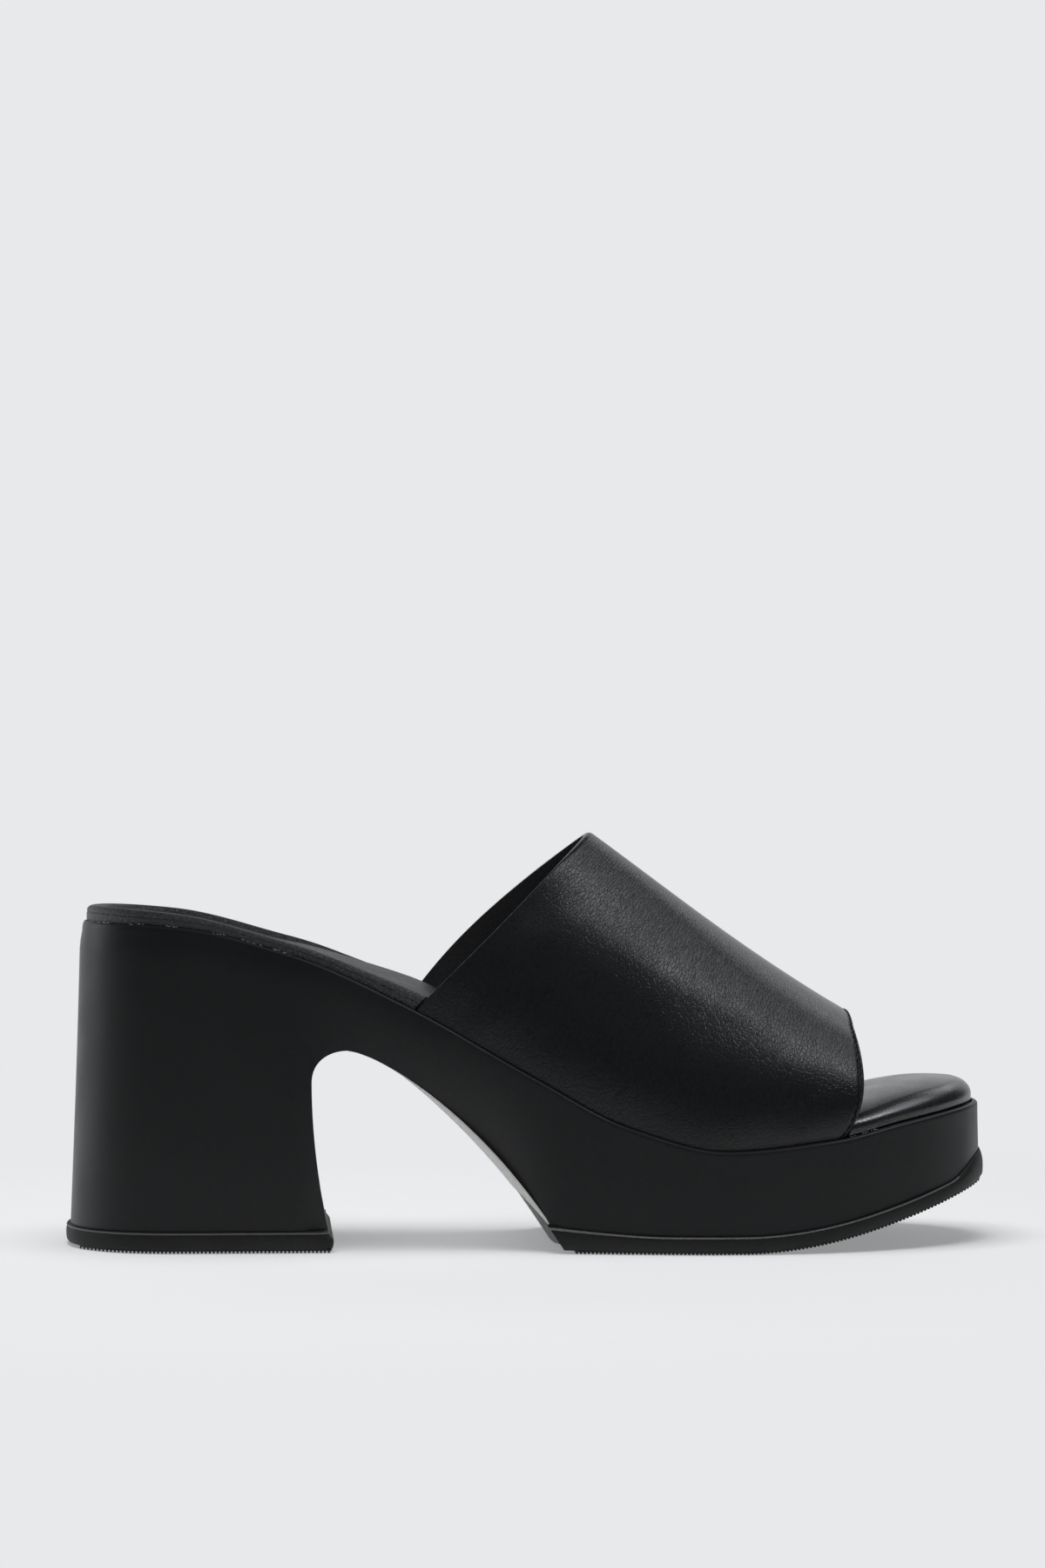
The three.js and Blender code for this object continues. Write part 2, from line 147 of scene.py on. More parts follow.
class Profile:
    """A smooth line through a short table, which never swings past its rows."""

    def __init__(self, at: Sequence[float], values: Sequence[float]) -> None:
        """Keeps the table and works out its slopes.

        Args:
            at: where the rows stand, rising.
            values: the rows' values.
        """
        self.at = np.array(at, float)
        self.values = np.array(values, float)
        slopes = np.diff(self.values) / np.diff(self.at)
        before, after = slopes[:-1], slopes[1:]
        level = np.where(before + after == 0, 1, before + after)
        inner = np.where(before * after <= 0, 0, 2 * before * after / level)
        self.tangents = np.concatenate(([slopes[0]], inner, [slopes[-1]]))

    def __call__(self, at: np.ndarray | float) -> np.ndarray:
        """The line's value at one or more places.

        Args:
            at: places along the table, held to its ends.

        Returns:
            The values there.
        """
        s = np.clip(at, self.at[0], self.at[-1])
        i = np.clip(np.searchsorted(self.at, s, side="right") - 1, 0, len(self.at) - 2)
        step = self.at[i + 1] - self.at[i]
        t = (s - self.at[i]) / step
        rising = self.values[i] * (1 + 2 * t) * (1 - t) ** 2 + self.values[i + 1] * t * t * (3 - 2 * t)
        leaning = self.tangents[i] * t * (1 - t) ** 2 + self.tangents[i + 1] * t * t * (t - 1)
        return rising + leaning * step


SHARES = (0, 0.15, 0.29, 0.43, 0.56, 0.7, 0.78, 0.9, 1)
EDGE_SHARES = (0, 0.102, 0.232, 0.361, 0.493, 0.597, 0.7, 0.819, 0.9, 1)
SEAT_SHARES = (0, 0.12, 0.2, 0.28, 0.4, 0.6, 0.75, 0.92, 1)
SOLE_SPINE = (26, 34)
BED_SPINE = (24, 30)


@dataclass(frozen=True)
class Last:
    """The sole's outline and heights, from which every piece is shaped."""

    length: float = 246.2
    heel_width: float = 61.5
    waist_width: float = 60
    ball_width: float = 88
    toe_width: float = 77
    heel_round: float = 27
    toe_round_outer: float = 47
    toe_round_inner: float = 33
    toe_shift: float = 5
    heel_height: float = 87.6
    ball_height: float = 27.2
    toe_height: float = 37
    heel_flare: float = 2.5
    toe_flare: float = 0.3
    lip_width: float = 1.5
    tray_depth: float = 1.2
    breast_reach: float = 68.1
    arch_reach: float = 126.3
    top_piece: float = 5.6
    outsole: float = 4.8
    toe_thinning: float = 0.3
    rear_rise: float = 2.3
    rear_ease: float = 30
    spring_start: float = 177
    toe_spring: float = 16.4
    steps: int = 130

    def _half(self, at: np.ndarray, side: Side) -> np.ndarray:
        """Half the sole's width on one side.

        Args:
            at: shares of the length.
            side: the side of the foot.

        Returns:
            The half widths there.
        """
        heel, waist, ball, toe = self.heel_width, self.waist_width, self.ball_width, self.toe_width
        widths = np.array((heel, heel, heel, waist, waist, ball, ball, toe, toe))
        outer = (0.48, 0.5, 0.505, 0.555, 0.655, 0.5, 0.478, 0.45, 0.38)
        inner = (0.48, 0.5, 0.48, 0.445, 0.53, 0.445, 0.475, 0.52, 0.47)
        return Profile(SHARES, widths * np.array(outer if side is Side.OUTER else inner))(at)

    def edge_y(self, x: np.ndarray, side: Side) -> np.ndarray:
        """Where the wall's top edge stands across the shoe.

        Args:
            x: places along the shoe.
            side: the side of the foot.

        Returns:
            The edge's Y.
        """
        x = np.asarray(x, float)
        half = side.value * self._half(x / self.length, side)
        reach = self.toe_round_outer if side is Side.OUTER else self.toe_round_inner
        toe = rounding(self.length - x, reach, 2.35)
        return mix(self.toe_shift, half, toe) * rounding(x, self.heel_round, 2.25)

    def edge_height(self, x: np.ndarray) -> np.ndarray:
        """Height of the wall's top edge.

        Args:
            x: places along the shoe.

        Returns:
            The heights there.
        """
        at = np.asarray(x, float) / self.length
        drop = Profile(EDGE_SHARES, (1, 0.982, 0.857, 0.623, 0.32, 0.1, 0, 0, 0, 0))(at)
        rise = Profile(EDGE_SHARES, (0, 0, 0, 0, 0, 0, 0, 0.27, 0.69, 1.1))(at)
        fall, lift = self.heel_height - self.ball_height, self.toe_height - self.ball_height
        return self.ball_height + fall * drop + lift * rise

    def tray_height(self, x: np.ndarray) -> np.ndarray:
        """Height of the shallow tray that the footbed lies in."""
        return self.edge_height(x) - self.tray_depth

    def into_spring(self, x: np.ndarray) -> np.ndarray:
        """How far a place is into the toe's spring, from 0 to 1."""
        run = self.length - self.spring_start
        return np.clip((np.asarray(x, float) - self.spring_start) / run, 0, 1)

    def floor_height(self, x: np.ndarray) -> np.ndarray:
        """Height of the underside: on the floor, then up to the toe."""
        t = self.into_spring(x)
        return self.toe_spring * t * t * (1.5 - 0.5 * t)

    def plate_height(self, x: np.ndarray) -> np.ndarray:
        """Height of the joint between the sole unit and what it stands on.

        Args:
            x: places along the shoe.

        Returns:
            The heights there.
        """
        x = np.asarray(x, float)
        rise = self.rear_rise * np.clip(1 - (x - self.arch_reach) / self.rear_ease, 0, 1) ** 1.5
        forefoot = self.outsole + rise - self.toe_thinning * self.into_spring(x)
        under_heel = x < (self.breast_reach + self.arch_reach) / 2
        return self.floor_height(x) + np.where(under_heel, self.top_piece, forefoot)

    def flare(self, x: np.ndarray, up: np.ndarray | float) -> np.ndarray:
        """How far the wall stands out past its top edge, at a share of its height."""
        at = np.clip(np.asarray(x, float) / self.length, 0, 1)
        return mix(self.heel_flare, self.toe_flare, at) * (1 - up) ** 1.25

    def ring(self, offset: Callable[[np.ndarray], np.ndarray]) -> np.ndarray:
        """Places round the sole, out along the outer side and back along the inner.

        Args:
            offset: how far outwards each place moves, given its X.

        Returns:
            One row for each place, at height 0.
        """
        k = np.arange(self.steps + 1)
        x = self.length * (1 - np.cos(np.pi * k / self.steps)) / 2
        outer = np.stack((x, self.edge_y(x, Side.OUTER), 0 * x), 1)
        inner = np.stack((x, self.edge_y(x, Side.INNER), 0 * x), 1)[::-1][1:-1]
        places = np.concatenate((outer, inner))
        return places + ways_out(places) * np.asarray(offset(places[:, 0]))[:, None]

    def spine(self, ring: np.ndarray, from_heel: float, from_toe: float) -> np.ndarray:
        """The middle line that a ring closes on, so that no place of it runs into a tip.

        Args:
            ring: the ring to close.
            from_heel: how far the line's end stands from the heel.
            from_toe: how far its other end stands from the toe.

        Returns:
            For each place of the ring, its place on the middle line.
        """
        facing = np.roll(ring[::-1], 1, 0)
        x = np.clip((ring[:, 0] + facing[:, 0]) / 2, from_heel, self.length - from_toe)
        y = (self.edge_y(x, Side.OUTER) + self.edge_y(x, Side.INNER)) / 2
        return np.stack((x, y, (ring[:, 2] + facing[:, 2]) / 2), 1)


@dataclass(frozen=True)
class Arch:
    """The arch under the waist, seen from the side."""

    last: Last
    lean: float = 5.6
    height: float = 53.5
    round_: float = 9.4
    foot_height: float = 6.8
    foot_slope: float = 1.5

    @property
    def top(self) -> np.ndarray:
        """Where the arch's round top ends and its long slope begins."""
        return np.array((self.last.breast_reach - self.lean + self.round_, self.height))

    def slope(self, u: np.ndarray) -> tuple[np.ndarray, np.ndarray]:
        """Places along the long slope and the way it runs there.

        Args:
            u: shares of the curve, held to its ends.

        Returns:
            Places and unit directions, each as X and Z.
        """
        a, d = self.top, np.array((self.last.arch_reach, self.foot_height))
        run = d[0] - a[0]
        b = a + (run * 0.12, 0)
        c = d + (-run * 0.4, run * 0.4 * self.foot_slope)
        t = np.clip(np.asarray(u, float), 0, 1)[..., None]
        place = a * (1 - t) ** 3 + 3 * b * t * (1 - t) ** 2 + 3 * c * t * t * (1 - t) + d * t**3
        way = 3 * (b - a) * (1 - t) ** 2 + 6 * (c - b) * t * (1 - t) + 3 * (d - c) * t * t
        return place, way / np.linalg.norm(way, axis=-1, keepdims=True)

    @property
    def slope_length(self) -> float:
        """The slope's whole length."""
        place, _ = self.slope(np.linspace(0, 1, 400))
        return float(run_length(place)[-1])

    def profile(self, narrowed: float) -> np.ndarray:
        """What cuts the arch, seen from the side.

        Args:
            narrowed: how much smaller it is all round.

        Returns:
            Places round it, as X and Z.
        """
        below = self.last.heel_height * 0.1
        shoulder = self.height - self.round_ * 0.9
        breast = self.last.breast_reach + narrowed
        rear = breast - self.lean
        top = self.top
        t = np.linspace(0, 1, 15)[:, None]
        lower = np.array((breast, 0)) * (1 - t) ** 2 + 2 * np.array((rear, shoulder * 0.55)) * t * (1 - t)
        lower = lower + np.array((rear, shoulder)) * t * t
        t = np.linspace(0, 1, 25)[1:, None]
        corner = (
            np.array((rear, shoulder)) * (1 - t) ** 3
            + 3 * np.array((rear, self.height - self.round_ * 0.25)) * t * (1 - t) ** 2
            + 3 * np.array((top[0] - self.round_ * 0.45, self.height - narrowed)) * t * t * (1 - t)
            + np.array((top[0], self.height - narrowed)) * t**3
        )
        place, way = self.slope(np.linspace(0, 1, 71)[1:])
        sunk = place + np.stack((way[:, 1], -way[:, 0]), 1) * narrowed
        last = sunk[-1]
        ends = np.array((last[0] + (last[1] + below) / self.foot_slope, -below))
        start = np.array((breast + self.lean * 0.1, -below))
        return np.concatenate(([start], lower, corner, sunk, [ends]))

    def under(self, u: np.ndarray, w: np.ndarray, depth: np.ndarray, inset: float) -> np.ndarray:
        """Places under the arch.

        Args:
            u: shares along the slope; past 1 they run straight on.
            w: places across, from -1 outside to 1 inside.
            depth: how far below the sole's face.
            inset: how far in from its sides.

        Returns:
            The places, in the last's frame.
        """
        place, way = self.slope(u)
        place = place + way * (np.maximum(0, u - 1) * self.slope_length)[..., None]
        x, z = place[..., 0], place[..., 1]
        low, high = self.last.plate_height(x), self.last.edge_height(x)
        flare = self.last.flare(x, np.clip((z - low) / (high - low), 0, 1))
        outer = self.last.edge_y(x, Side.OUTER) - flare + inset
        inner = self.last.edge_y(x, Side.INNER) + flare - inset
        y = mix(outer, inner, (w + 1) / 2)
        return np.stack((x + way[..., 1] * depth, y, z - way[..., 0] * depth), -1)


class Bench:
    """Modelling by hand: primitives, edit mode and modifiers."""

    @staticmethod
    def clear() -> None:
        """Leaves edit mode and lets go of everything."""
        if bpy.context.object and bpy.context.object.mode != "OBJECT":
            Bench.leave()
        bpy.ops.object.select_all(action="DESELECT")

    @staticmethod
    def enter() -> None:
        """Opens the active piece in edit mode with all of it selected."""
        bpy.ops.object.mode_set(mode="EDIT")
        bpy.ops.mesh.select_all(action="SELECT")

    @staticmethod
    def leave() -> None:
        """Goes back to object mode."""
        bpy.ops.object.mode_set(mode="OBJECT")

    @staticmethod
    def hold(piece: bpy.types.Object) -> None:
        """Selects one piece and makes it active.

        Args:
            piece: the piece.
        """
        Bench.clear()
        piece.select_set(True)
        bpy.context.view_layer.objects.active = piece

    @staticmethod
    def named(name: str) -> bpy.types.Object:
        """Names the primitive just added and settles its place into its mesh.

        Args:
            name: its name.

        Returns:
            The primitive.
        """
        piece = bpy.context.object
        piece.name = piece.data.name = name
        bpy.ops.object.transform_apply(location=True, rotation=True, scale=True)
        return piece

    @staticmethod
    def modify(piece: bpy.types.Object, kind: str, **settings: object) -> None:
        """Adds a modifier and applies it.

        Args:
            piece: the piece it works on.
            kind: the modifier's type.
            settings: its properties.
        """
        Bench.hold(piece)
        modifier = piece.modifiers.new(kind.lower(), kind)
        for name, value in settings.items():
            setattr(modifier, name, value)
        bpy.ops.object.modifier_apply(modifier=modifier.name)

    @staticmethod
    def place(piece: bpy.types.Object, points: np.ndarray, first: int = 0) -> None:
        """Moves a run of a mesh's vertices.

        Args:
            piece: the piece.
            points: where they go, in metres.
            first: the first one's number.
        """
        co = np.zeros(len(piece.data.vertices) * 3)
        piece.data.vertices.foreach_get("co", co)
        co = co.reshape(-1, 3)
        co[first : first + len(points)] = points
        piece.data.vertices.foreach_set("co", co.ravel())
        piece.data.update()

    @staticmethod
    def loft(name: str, rings: Sequence[np.ndarray]) -> bpy.types.Object:
        """A closed piece, drawn up ring by ring from a circle.

        Args:
            name: the piece's name.
            rings: its rings in the last's frame; the first and last are closed on a middle line.

        Returns:
            The piece, with a UV map of its length round and its height, in metres.
        """
        Bench.clear()
        count = len(rings[0])
        middle = metres(rings[0]).mean(axis=0)
        bpy.ops.mesh.primitive_circle_add(vertices=count, radius=0.1, location=middle)
        piece = Bench.named(name)
        bpy.ops.object.mode_set(mode="EDIT")
        work = bmesh.from_edit_mesh(piece.data)
        work.verts.layers.int.new("column")
        work.verts.layers.int.new("row")
        for row, ring in enumerate(rings):
            if row:
                bpy.ops.mesh.extrude_region_move()
            work = bmesh.from_edit_mesh(piece.data)
            column, level = work.verts.layers.int["column"], work.verts.layers.int["row"]
            places = metres(ring)
            for k, vertex in enumerate(v for v in work.verts if v.select):
                if not row:
                    vertex[column] = k
                vertex[level] = row
                vertex.co = places[vertex[column]]
            bmesh.update_edit_mesh(piece.data)
        Bench._unwrap_rings(piece, rings)
        bpy.ops.mesh.select_all(action="SELECT")
        bpy.ops.mesh.remove_doubles(threshold=1e-6)
        bpy.ops.mesh.normals_make_consistent(inside=False)
        Bench.leave()
        return piece

    @staticmethod
    def _unwrap_rings(piece: bpy.types.Object, rings: Sequence[np.ndarray]) -> None:
        """Gives a loft in edit mode a UV map: length round the widest ring, and length up the rings.

        Args:
            piece: the loft.
            rings: its rings.
        """
        count = len(rings[0])
        wide = metres(max(rings, key=lambda r: np.ptp(r[:, 1])))
        along = run_length(np.concatenate((wide, wide[:1])))
        up = run_length(np.stack([metres(r) for r in rings]))
        work = bmesh.from_edit_mesh(piece.data)
        uv = work.loops.layers.uv.verify()
        column, level = work.verts.layers.int["column"], work.verts.layers.int["row"]
        for face in work.faces:
            columns = [loop.vert[column] for loop in face.loops]
            wraps = max(columns) - min(columns) > count / 2
            for loop, k in zip(face.loops, columns):
                round_at = along[count] if wraps and k == 0 else along[k]
                loop[uv].uv = (round_at, up[loop.vert[level], k])
        bmesh.update_edit_mesh(piece.data)

    @staticmethod
    def slab(name: str, over: np.ndarray, under: np.ndarray) -> bpy.types.Object:
        """A closed slab between two grids of places.

        Args:
            name: the piece's name.
            over: its outer face, rows by columns, in the last's frame.
            under: its inner face, laid out the same way.

        Returns:
            The piece, with a UV map of lengths along its columns and rows, in metres. Its vertices come in
            the order of the outer grid and then of the inner one.
        """
        Bench.clear()
        rows, columns = over.shape[:2]
        top, bottom = metres(over), metres(under)
        bpy.ops.mesh.primitive_grid_add(
            x_subdivisions=columns - 1, y_subdivisions=rows - 1, size=0.1, location=top.mean(axis=(0, 1))
        )
        piece = Bench.named(name)
        Bench.place(piece, top.reshape(-1, 3))
        across = np.linalg.norm(np.diff(top, axis=1), axis=2).mean(axis=0)
        down = np.linalg.norm(np.diff(top, axis=0), axis=2).mean(axis=1)
        u = np.concatenate(([0], np.cumsum(across)))
        v = np.concatenate(([0], np.cumsum(down)))
        uv = piece.data.uv_layers[0].data
        for loop in piece.data.loops:
            row, column = divmod(loop.vertex_index, columns)
            uv[loop.index].uv = (u[column], v[row])
        middle = (rows // 2, columns // 2)
        normal = np.cross(
            top[middle[0], middle[1] + 1] - top[middle], top[middle[0] + 1, middle[1]] - top[middle]
        )
        if normal @ (top[middle] - bottom[middle]) < 0:
            Bench.enter()
            bpy.ops.mesh.flip_normals()
            Bench.leave()
        Bench.modify(piece, "SOLIDIFY", thickness=0.0005, offset=-1)
        Bench.place(piece, bottom.reshape(-1, 3), rows * columns)
        return piece

    @staticmethod
    def cutter(outline: np.ndarray, depth: float) -> bpy.types.Object:
        """A tall block with a given outline seen from the side, drawn out across the shoe.

        Args:
            outline: places round it, as X and Z in the last's frame.
            depth: how wide it is.

        Returns:
            The block.
        """
        Bench.clear()
        bpy.ops.mesh.primitive_circle_add(vertices=len(outline), radius=0.1, fill_type="NGON")
        piece = Bench.named("cutter")
        start = np.stack((outline[:, 0], np.full(len(outline), -depth / 2), outline[:, 1]), 1)
        Bench.place(piece, metres(start))
        Bench.enter()
        bpy.ops.mesh.extrude_region_move(TRANSFORM_OT_translate={"value": (0, depth * MM, 0)})
        bpy.ops.mesh.select_all(action="SELECT")
        bpy.ops.mesh.normals_make_consistent(inside=False)
        Bench.leave()
        return piece

    @staticmethod
    def cut(piece: bpy.types.Object, tool: bpy.types.Object) -> None:
        """Cuts a tool out of a piece and puts the tool away."""
        Bench.modify(piece, "BOOLEAN", operation="DIFFERENCE", object=tool, solver="MANIFOLD")
        bpy.data.objects.remove(tool)

    @staticmethod
    def bevel(piece: bpy.types.Object, width: float, segments: int, **settings: object) -> None:
        """Rounds a piece's sharp edges.

        Args:
            piece: the piece.
            width: the round's width, in metres.
            segments: its steps.
            settings: further properties of the modifier.
        """
        sharp = {"limit_method": "ANGLE", "angle_limit": 1.0} | settings
        Bench.modify(piece, "BEVEL", width=width, segments=segments, **sharp)

    @staticmethod
    def copied(model: bpy.types.Object, move: Matrix) -> bpy.types.Object:
        """Makes a copy with a mesh of its own.

        Args:
            model: the piece to copy.
            move: how the copy's mesh is moved.

        Returns:
            The copy.
        """
        copy = model.copy()
        copy.data = model.data.copy()
        bpy.context.scene.collection.objects.link(copy)
        copy.data.transform(move)
        return copy

    @staticmethod
    def shade(piece: bpy.types.Object, angle: float) -> None:
        """Smooths a piece's faces, but not over edges sharper than an angle in degrees."""
        Bench.hold(piece)
        bpy.ops.object.shade_smooth_by_angle(angle=math.radians(angle))

    @staticmethod
    def join(pieces: Sequence[bpy.types.Object], name: str) -> bpy.types.Object:
        """Joins copies into one piece.

        Args:
            pieces: the copies.
            name: the joined piece's name.

        Returns:
            The joined piece.
        """
        Bench.clear()
        for piece in pieces:
            piece.select_set(True)
        bpy.context.view_layer.objects.active = pieces[0]
        bpy.ops.object.join()
        pieces[0].name = pieces[0].data.name = name
        return pieces[0]


def settle(piece: bpy.types.Object, replaces: Sequence[str] = ()) -> bpy.types.Object:
    """Hands a finished piece to the frame and reports it.

    Args:
        piece: the piece.
        replaces: the nodes that it stands for.

    Returns:
        The piece.
    """
    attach(piece, BODY)
    if replaces:
        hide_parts(*replaces)
    LOG.info("%s: %d faces", piece.name, len(piece.data.polygons))
    return piece


class Nodes:
    """A small workshop for shader trees."""

    def __init__(self, tree: bpy.types.NodeTree) -> None:
        """Takes the tree to work in."""
        self.tree = tree

    def add(self, kind: str, inputs: dict | None = None, **settings: object) -> bpy.types.Node:
        """Adds a node, sets its properties and sets or links its inputs.

        Args:
            kind: the node's type, without the words Shader and Node.
            inputs: values or sockets by input name or number.
            settings: the node's own properties.

        Returns:
            The node.
        """
        node = self.tree.nodes.new(kind if kind.startswith("Node") else "ShaderNode" + kind)
        for name, value in settings.items():
            setattr(node, name, value)
        self.feed(node, inputs or {})
        return node

    def feed(self, node: bpy.types.Node, inputs: dict) -> None:
        """Sets or links a node's inputs.

        Args:
            node: the node.
            inputs: values or sockets by input name or number.
        """
        for name, value in inputs.items():
            if isinstance(value, bpy.types.NodeSocket):
                self.tree.links.new(value, node.inputs[name])
            else:
                node.inputs[name].default_value = value

    def math(self, operation: str, *values: object) -> bpy.types.NodeSocket:
        """One sum of numbers or sockets."""
        return self.add("Math", dict(enumerate(values)), operation=operation).outputs[0]

    def ramp(self, value: bpy.types.NodeSocket, low: float, high: float, start: float = 0.0,
             end: float = 1.0) -> bpy.types.NodeSocket:
        """An eased change of a value from start at low to end at high."""
        inputs = {"Value": value, "From Min": low, "From Max": high, "To Min": start, "To Max": end}
        return self.add("MapRange", inputs, interpolation_type="SMOOTHSTEP").outputs["Result"]

    def blend(self, factor: bpy.types.NodeSocket, first: Colour, second: Colour) -> bpy.types.NodeSocket:
        """One colour into another by a factor."""
        return self.add("Mix", {0: factor, 6: (*first, 1), 7: (*second, 1)}, data_type="RGBA").outputs[2]

    def bump(self, height: bpy.types.NodeSocket, depth: float) -> bpy.types.NodeSocket:
        """The normals that a height gives over a depth in metres."""
        return self.add("Bump", {"Height": height, "Distance": depth, "Strength": 1.0}).outputs[0]


class Effects:
    """The surface effects that more than one finish uses, each a shader group that is built once."""

    def __init__(self) -> None:
        """Builds the groups."""
        self.grain = self._grain()
        self.handling = self._handling()

    @staticmethod
    def _group(name: str, sockets: dict[str, tuple[str, str]]) -> tuple[bpy.types.NodeTree, Nodes]:
        """A new group with named sockets.

        Args:
            name: the group's name.
            sockets: for each socket, INPUT or OUTPUT and its kind.

        Returns:
            The group and a workshop in it.
        """
        group = bpy.data.node_groups.new(name, "ShaderNodeTree")
        for label, (way, kind) in sockets.items():
            group.interface.new_socket(name=label, in_out=way, socket_type="NodeSocket" + kind)
        return group, Nodes(group)

    def _grain(self) -> bpy.types.NodeTree:
        """Leather grain: short wrinkles that run one way, over finer pores.

        Returns:
            The group, which puts out the grain's height and its valleys.
        """
        group, nodes = self._group(
            "leather_grain",
            {
                "Vector": ("INPUT", "Vector"),
                "Wrinkles": ("INPUT", "Float"),
                "Pores": ("INPUT", "Float"),
                "Height": ("OUTPUT", "Float"),
                "Valleys": ("OUTPUT", "Float"),
            },
        )
        source, out = nodes.add("NodeGroupInput"), nodes.add("NodeGroupOutput")
        place, wrinkles, pores = (source.outputs[n] for n in ("Vector", "Wrinkles", "Pores"))
        drift = nodes.add("TexNoise", {"Vector": place, "Scale": 420.0, "Detail": 2.0})
        reach = (0.0012,) * 3
        pushed = nodes.add("VectorMath", {0: drift.outputs["Color"], 1: reach}, operation="MULTIPLY")
        moved = nodes.add("VectorMath", {0: place, 1: pushed.outputs[0]}, operation="ADD").outputs[0]
        cells = nodes.add("TexVoronoi", {"Vector": moved, "Scale": wrinkles}, feature="DISTANCE_TO_EDGE")
        pebble = nodes.ramp(cells.outputs["Distance"], 0.0, 0.15)
        small = nodes.add("TexVoronoi", {"Vector": moved, "Scale": pores}, feature="DISTANCE_TO_EDGE")
        seed = nodes.ramp(small.outputs["Distance"], 0.0, 0.25)
        patch = nodes.add("TexNoise", {"Vector": place, "Scale": 300.0, "Detail": 2.0})
        weight = nodes.ramp(patch.outputs["Fac"], 0.3, 0.7, 0.75, 1.0)
        fine = nodes.add("TexNoise", {"Vector": place, "Scale": 4200.0, "Detail": 1.0})
        height = nodes.math("MULTIPLY", nodes.math("MULTIPLY", pebble, weight), 0.62)
        height = nodes.math("ADD", height, nodes.math("MULTIPLY", seed, 0.18))
        height = nodes.math("ADD", height, nodes.math("MULTIPLY", fine.outputs["Fac"], 0.07))
        nodes.feed(out, {"Height": height, "Valleys": nodes.math("SUBTRACT", 1.0, pebble)})
        return group

    def _handling(self) -> bpy.types.NodeTree:
        """Soft cloudy changes of gloss and tone, as moulding and handling leave.

        Returns:
            The group, which puts out clouds and specks of dust.
        """
        group, nodes = self._group(
            "handling",
            {
                "Vector": ("INPUT", "Vector"),
                "Clouds": ("OUTPUT", "Float"),
                "Dust": ("OUTPUT", "Float"),
            },
        )
        place, out = nodes.add("NodeGroupInput").outputs["Vector"], nodes.add("NodeGroupOutput")
        clouds = nodes.add("TexNoise", {"Vector": place, "Scale": 38.0, "Detail": 4.0, "Roughness": 0.6})
        dust = nodes.add("TexNoise", {"Vector": place, "Scale": 900.0, "Detail": 2.0})
        nodes.feed(out, {"Clouds": nodes.ramp(clouds.outputs["Fac"], 0.3, 0.7)})
        nodes.feed(out, {"Dust": nodes.ramp(dust.outputs["Fac"], 0.62, 0.8)})
        return group


def fresh_material(name: str) -> tuple[bpy.types.Material, Nodes, bpy.types.Node]:
    """A new material.

    Args:
        name: its name.

    Returns:
        The material, a workshop in its tree, and its Principled shader.
    """
    material = bpy.data.materials.new(name)
    material.use_nodes = True
    nodes = Nodes(material.node_tree)
    shader = material.node_tree.nodes["Principled BSDF"]
    return material, nodes, shader


@dataclass(frozen=True)
class GrainedFinish:
    """Coated leather: dark, with short wrinkles that follow the piece's own UV map."""

    name: str
    tone: Colour
    valley: Colour
    roughness: tuple[float, float]
    wrinkles: float
    pores: float
    stretch: tuple[float, float, float]
    depth: float
    specular: float = 0.4
    by_uv: bool = True
    taut_from: float = 0.0
    taut_run: float = 0.02
    taut_gloss: float = -0.21
    taut_grain: float = 0.08

    def make(self, effects: Effects) -> bpy.types.Material:
        """Builds the material.

        Args:
            effects: the shared effects.

        Returns:
            The material.
        """
        material, nodes, shader = fresh_material(self.name)
        coords = nodes.add("TexCoord")
        source = coords.outputs["UV" if self.by_uv else "Object"]
        lay = nodes.add("Mapping", {"Vector": source, "Scale": self.stretch}).outputs[0]
        inputs = {"Vector": lay, "Wrinkles": self.wrinkles, "Pores": self.pores}
        grain = nodes.add("Group", inputs, node_tree=effects.grain)
        touch = nodes.add("Group", {"Vector": coords.outputs["Object"]}, node_tree=effects.handling)
        worn = nodes.ramp(touch.outputs["Clouds"], 0.0, 1.0, *self.roughness)
        height = grain.outputs["Height"]
        if self.taut_from:
            along = nodes.add("SeparateXYZ", {"Vector": coords.outputs["Object"]}).outputs["X"]
            taut = (self.taut_from, self.taut_from + self.taut_run)
            worn = nodes.math("ADD", worn, nodes.ramp(along, *taut, 0.0, self.taut_gloss))
            height = nodes.math("MULTIPLY", height, nodes.ramp(along, *taut, 1.0, self.taut_grain))
        looks = {
            "Base Color": nodes.blend(grain.outputs["Valleys"], self.tone, self.valley),
            "Roughness": worn,
            "Normal": nodes.bump(height, self.depth),
            "Specular IOR Level": self.specular,
        }
        nodes.feed(shader, looks)
        return material


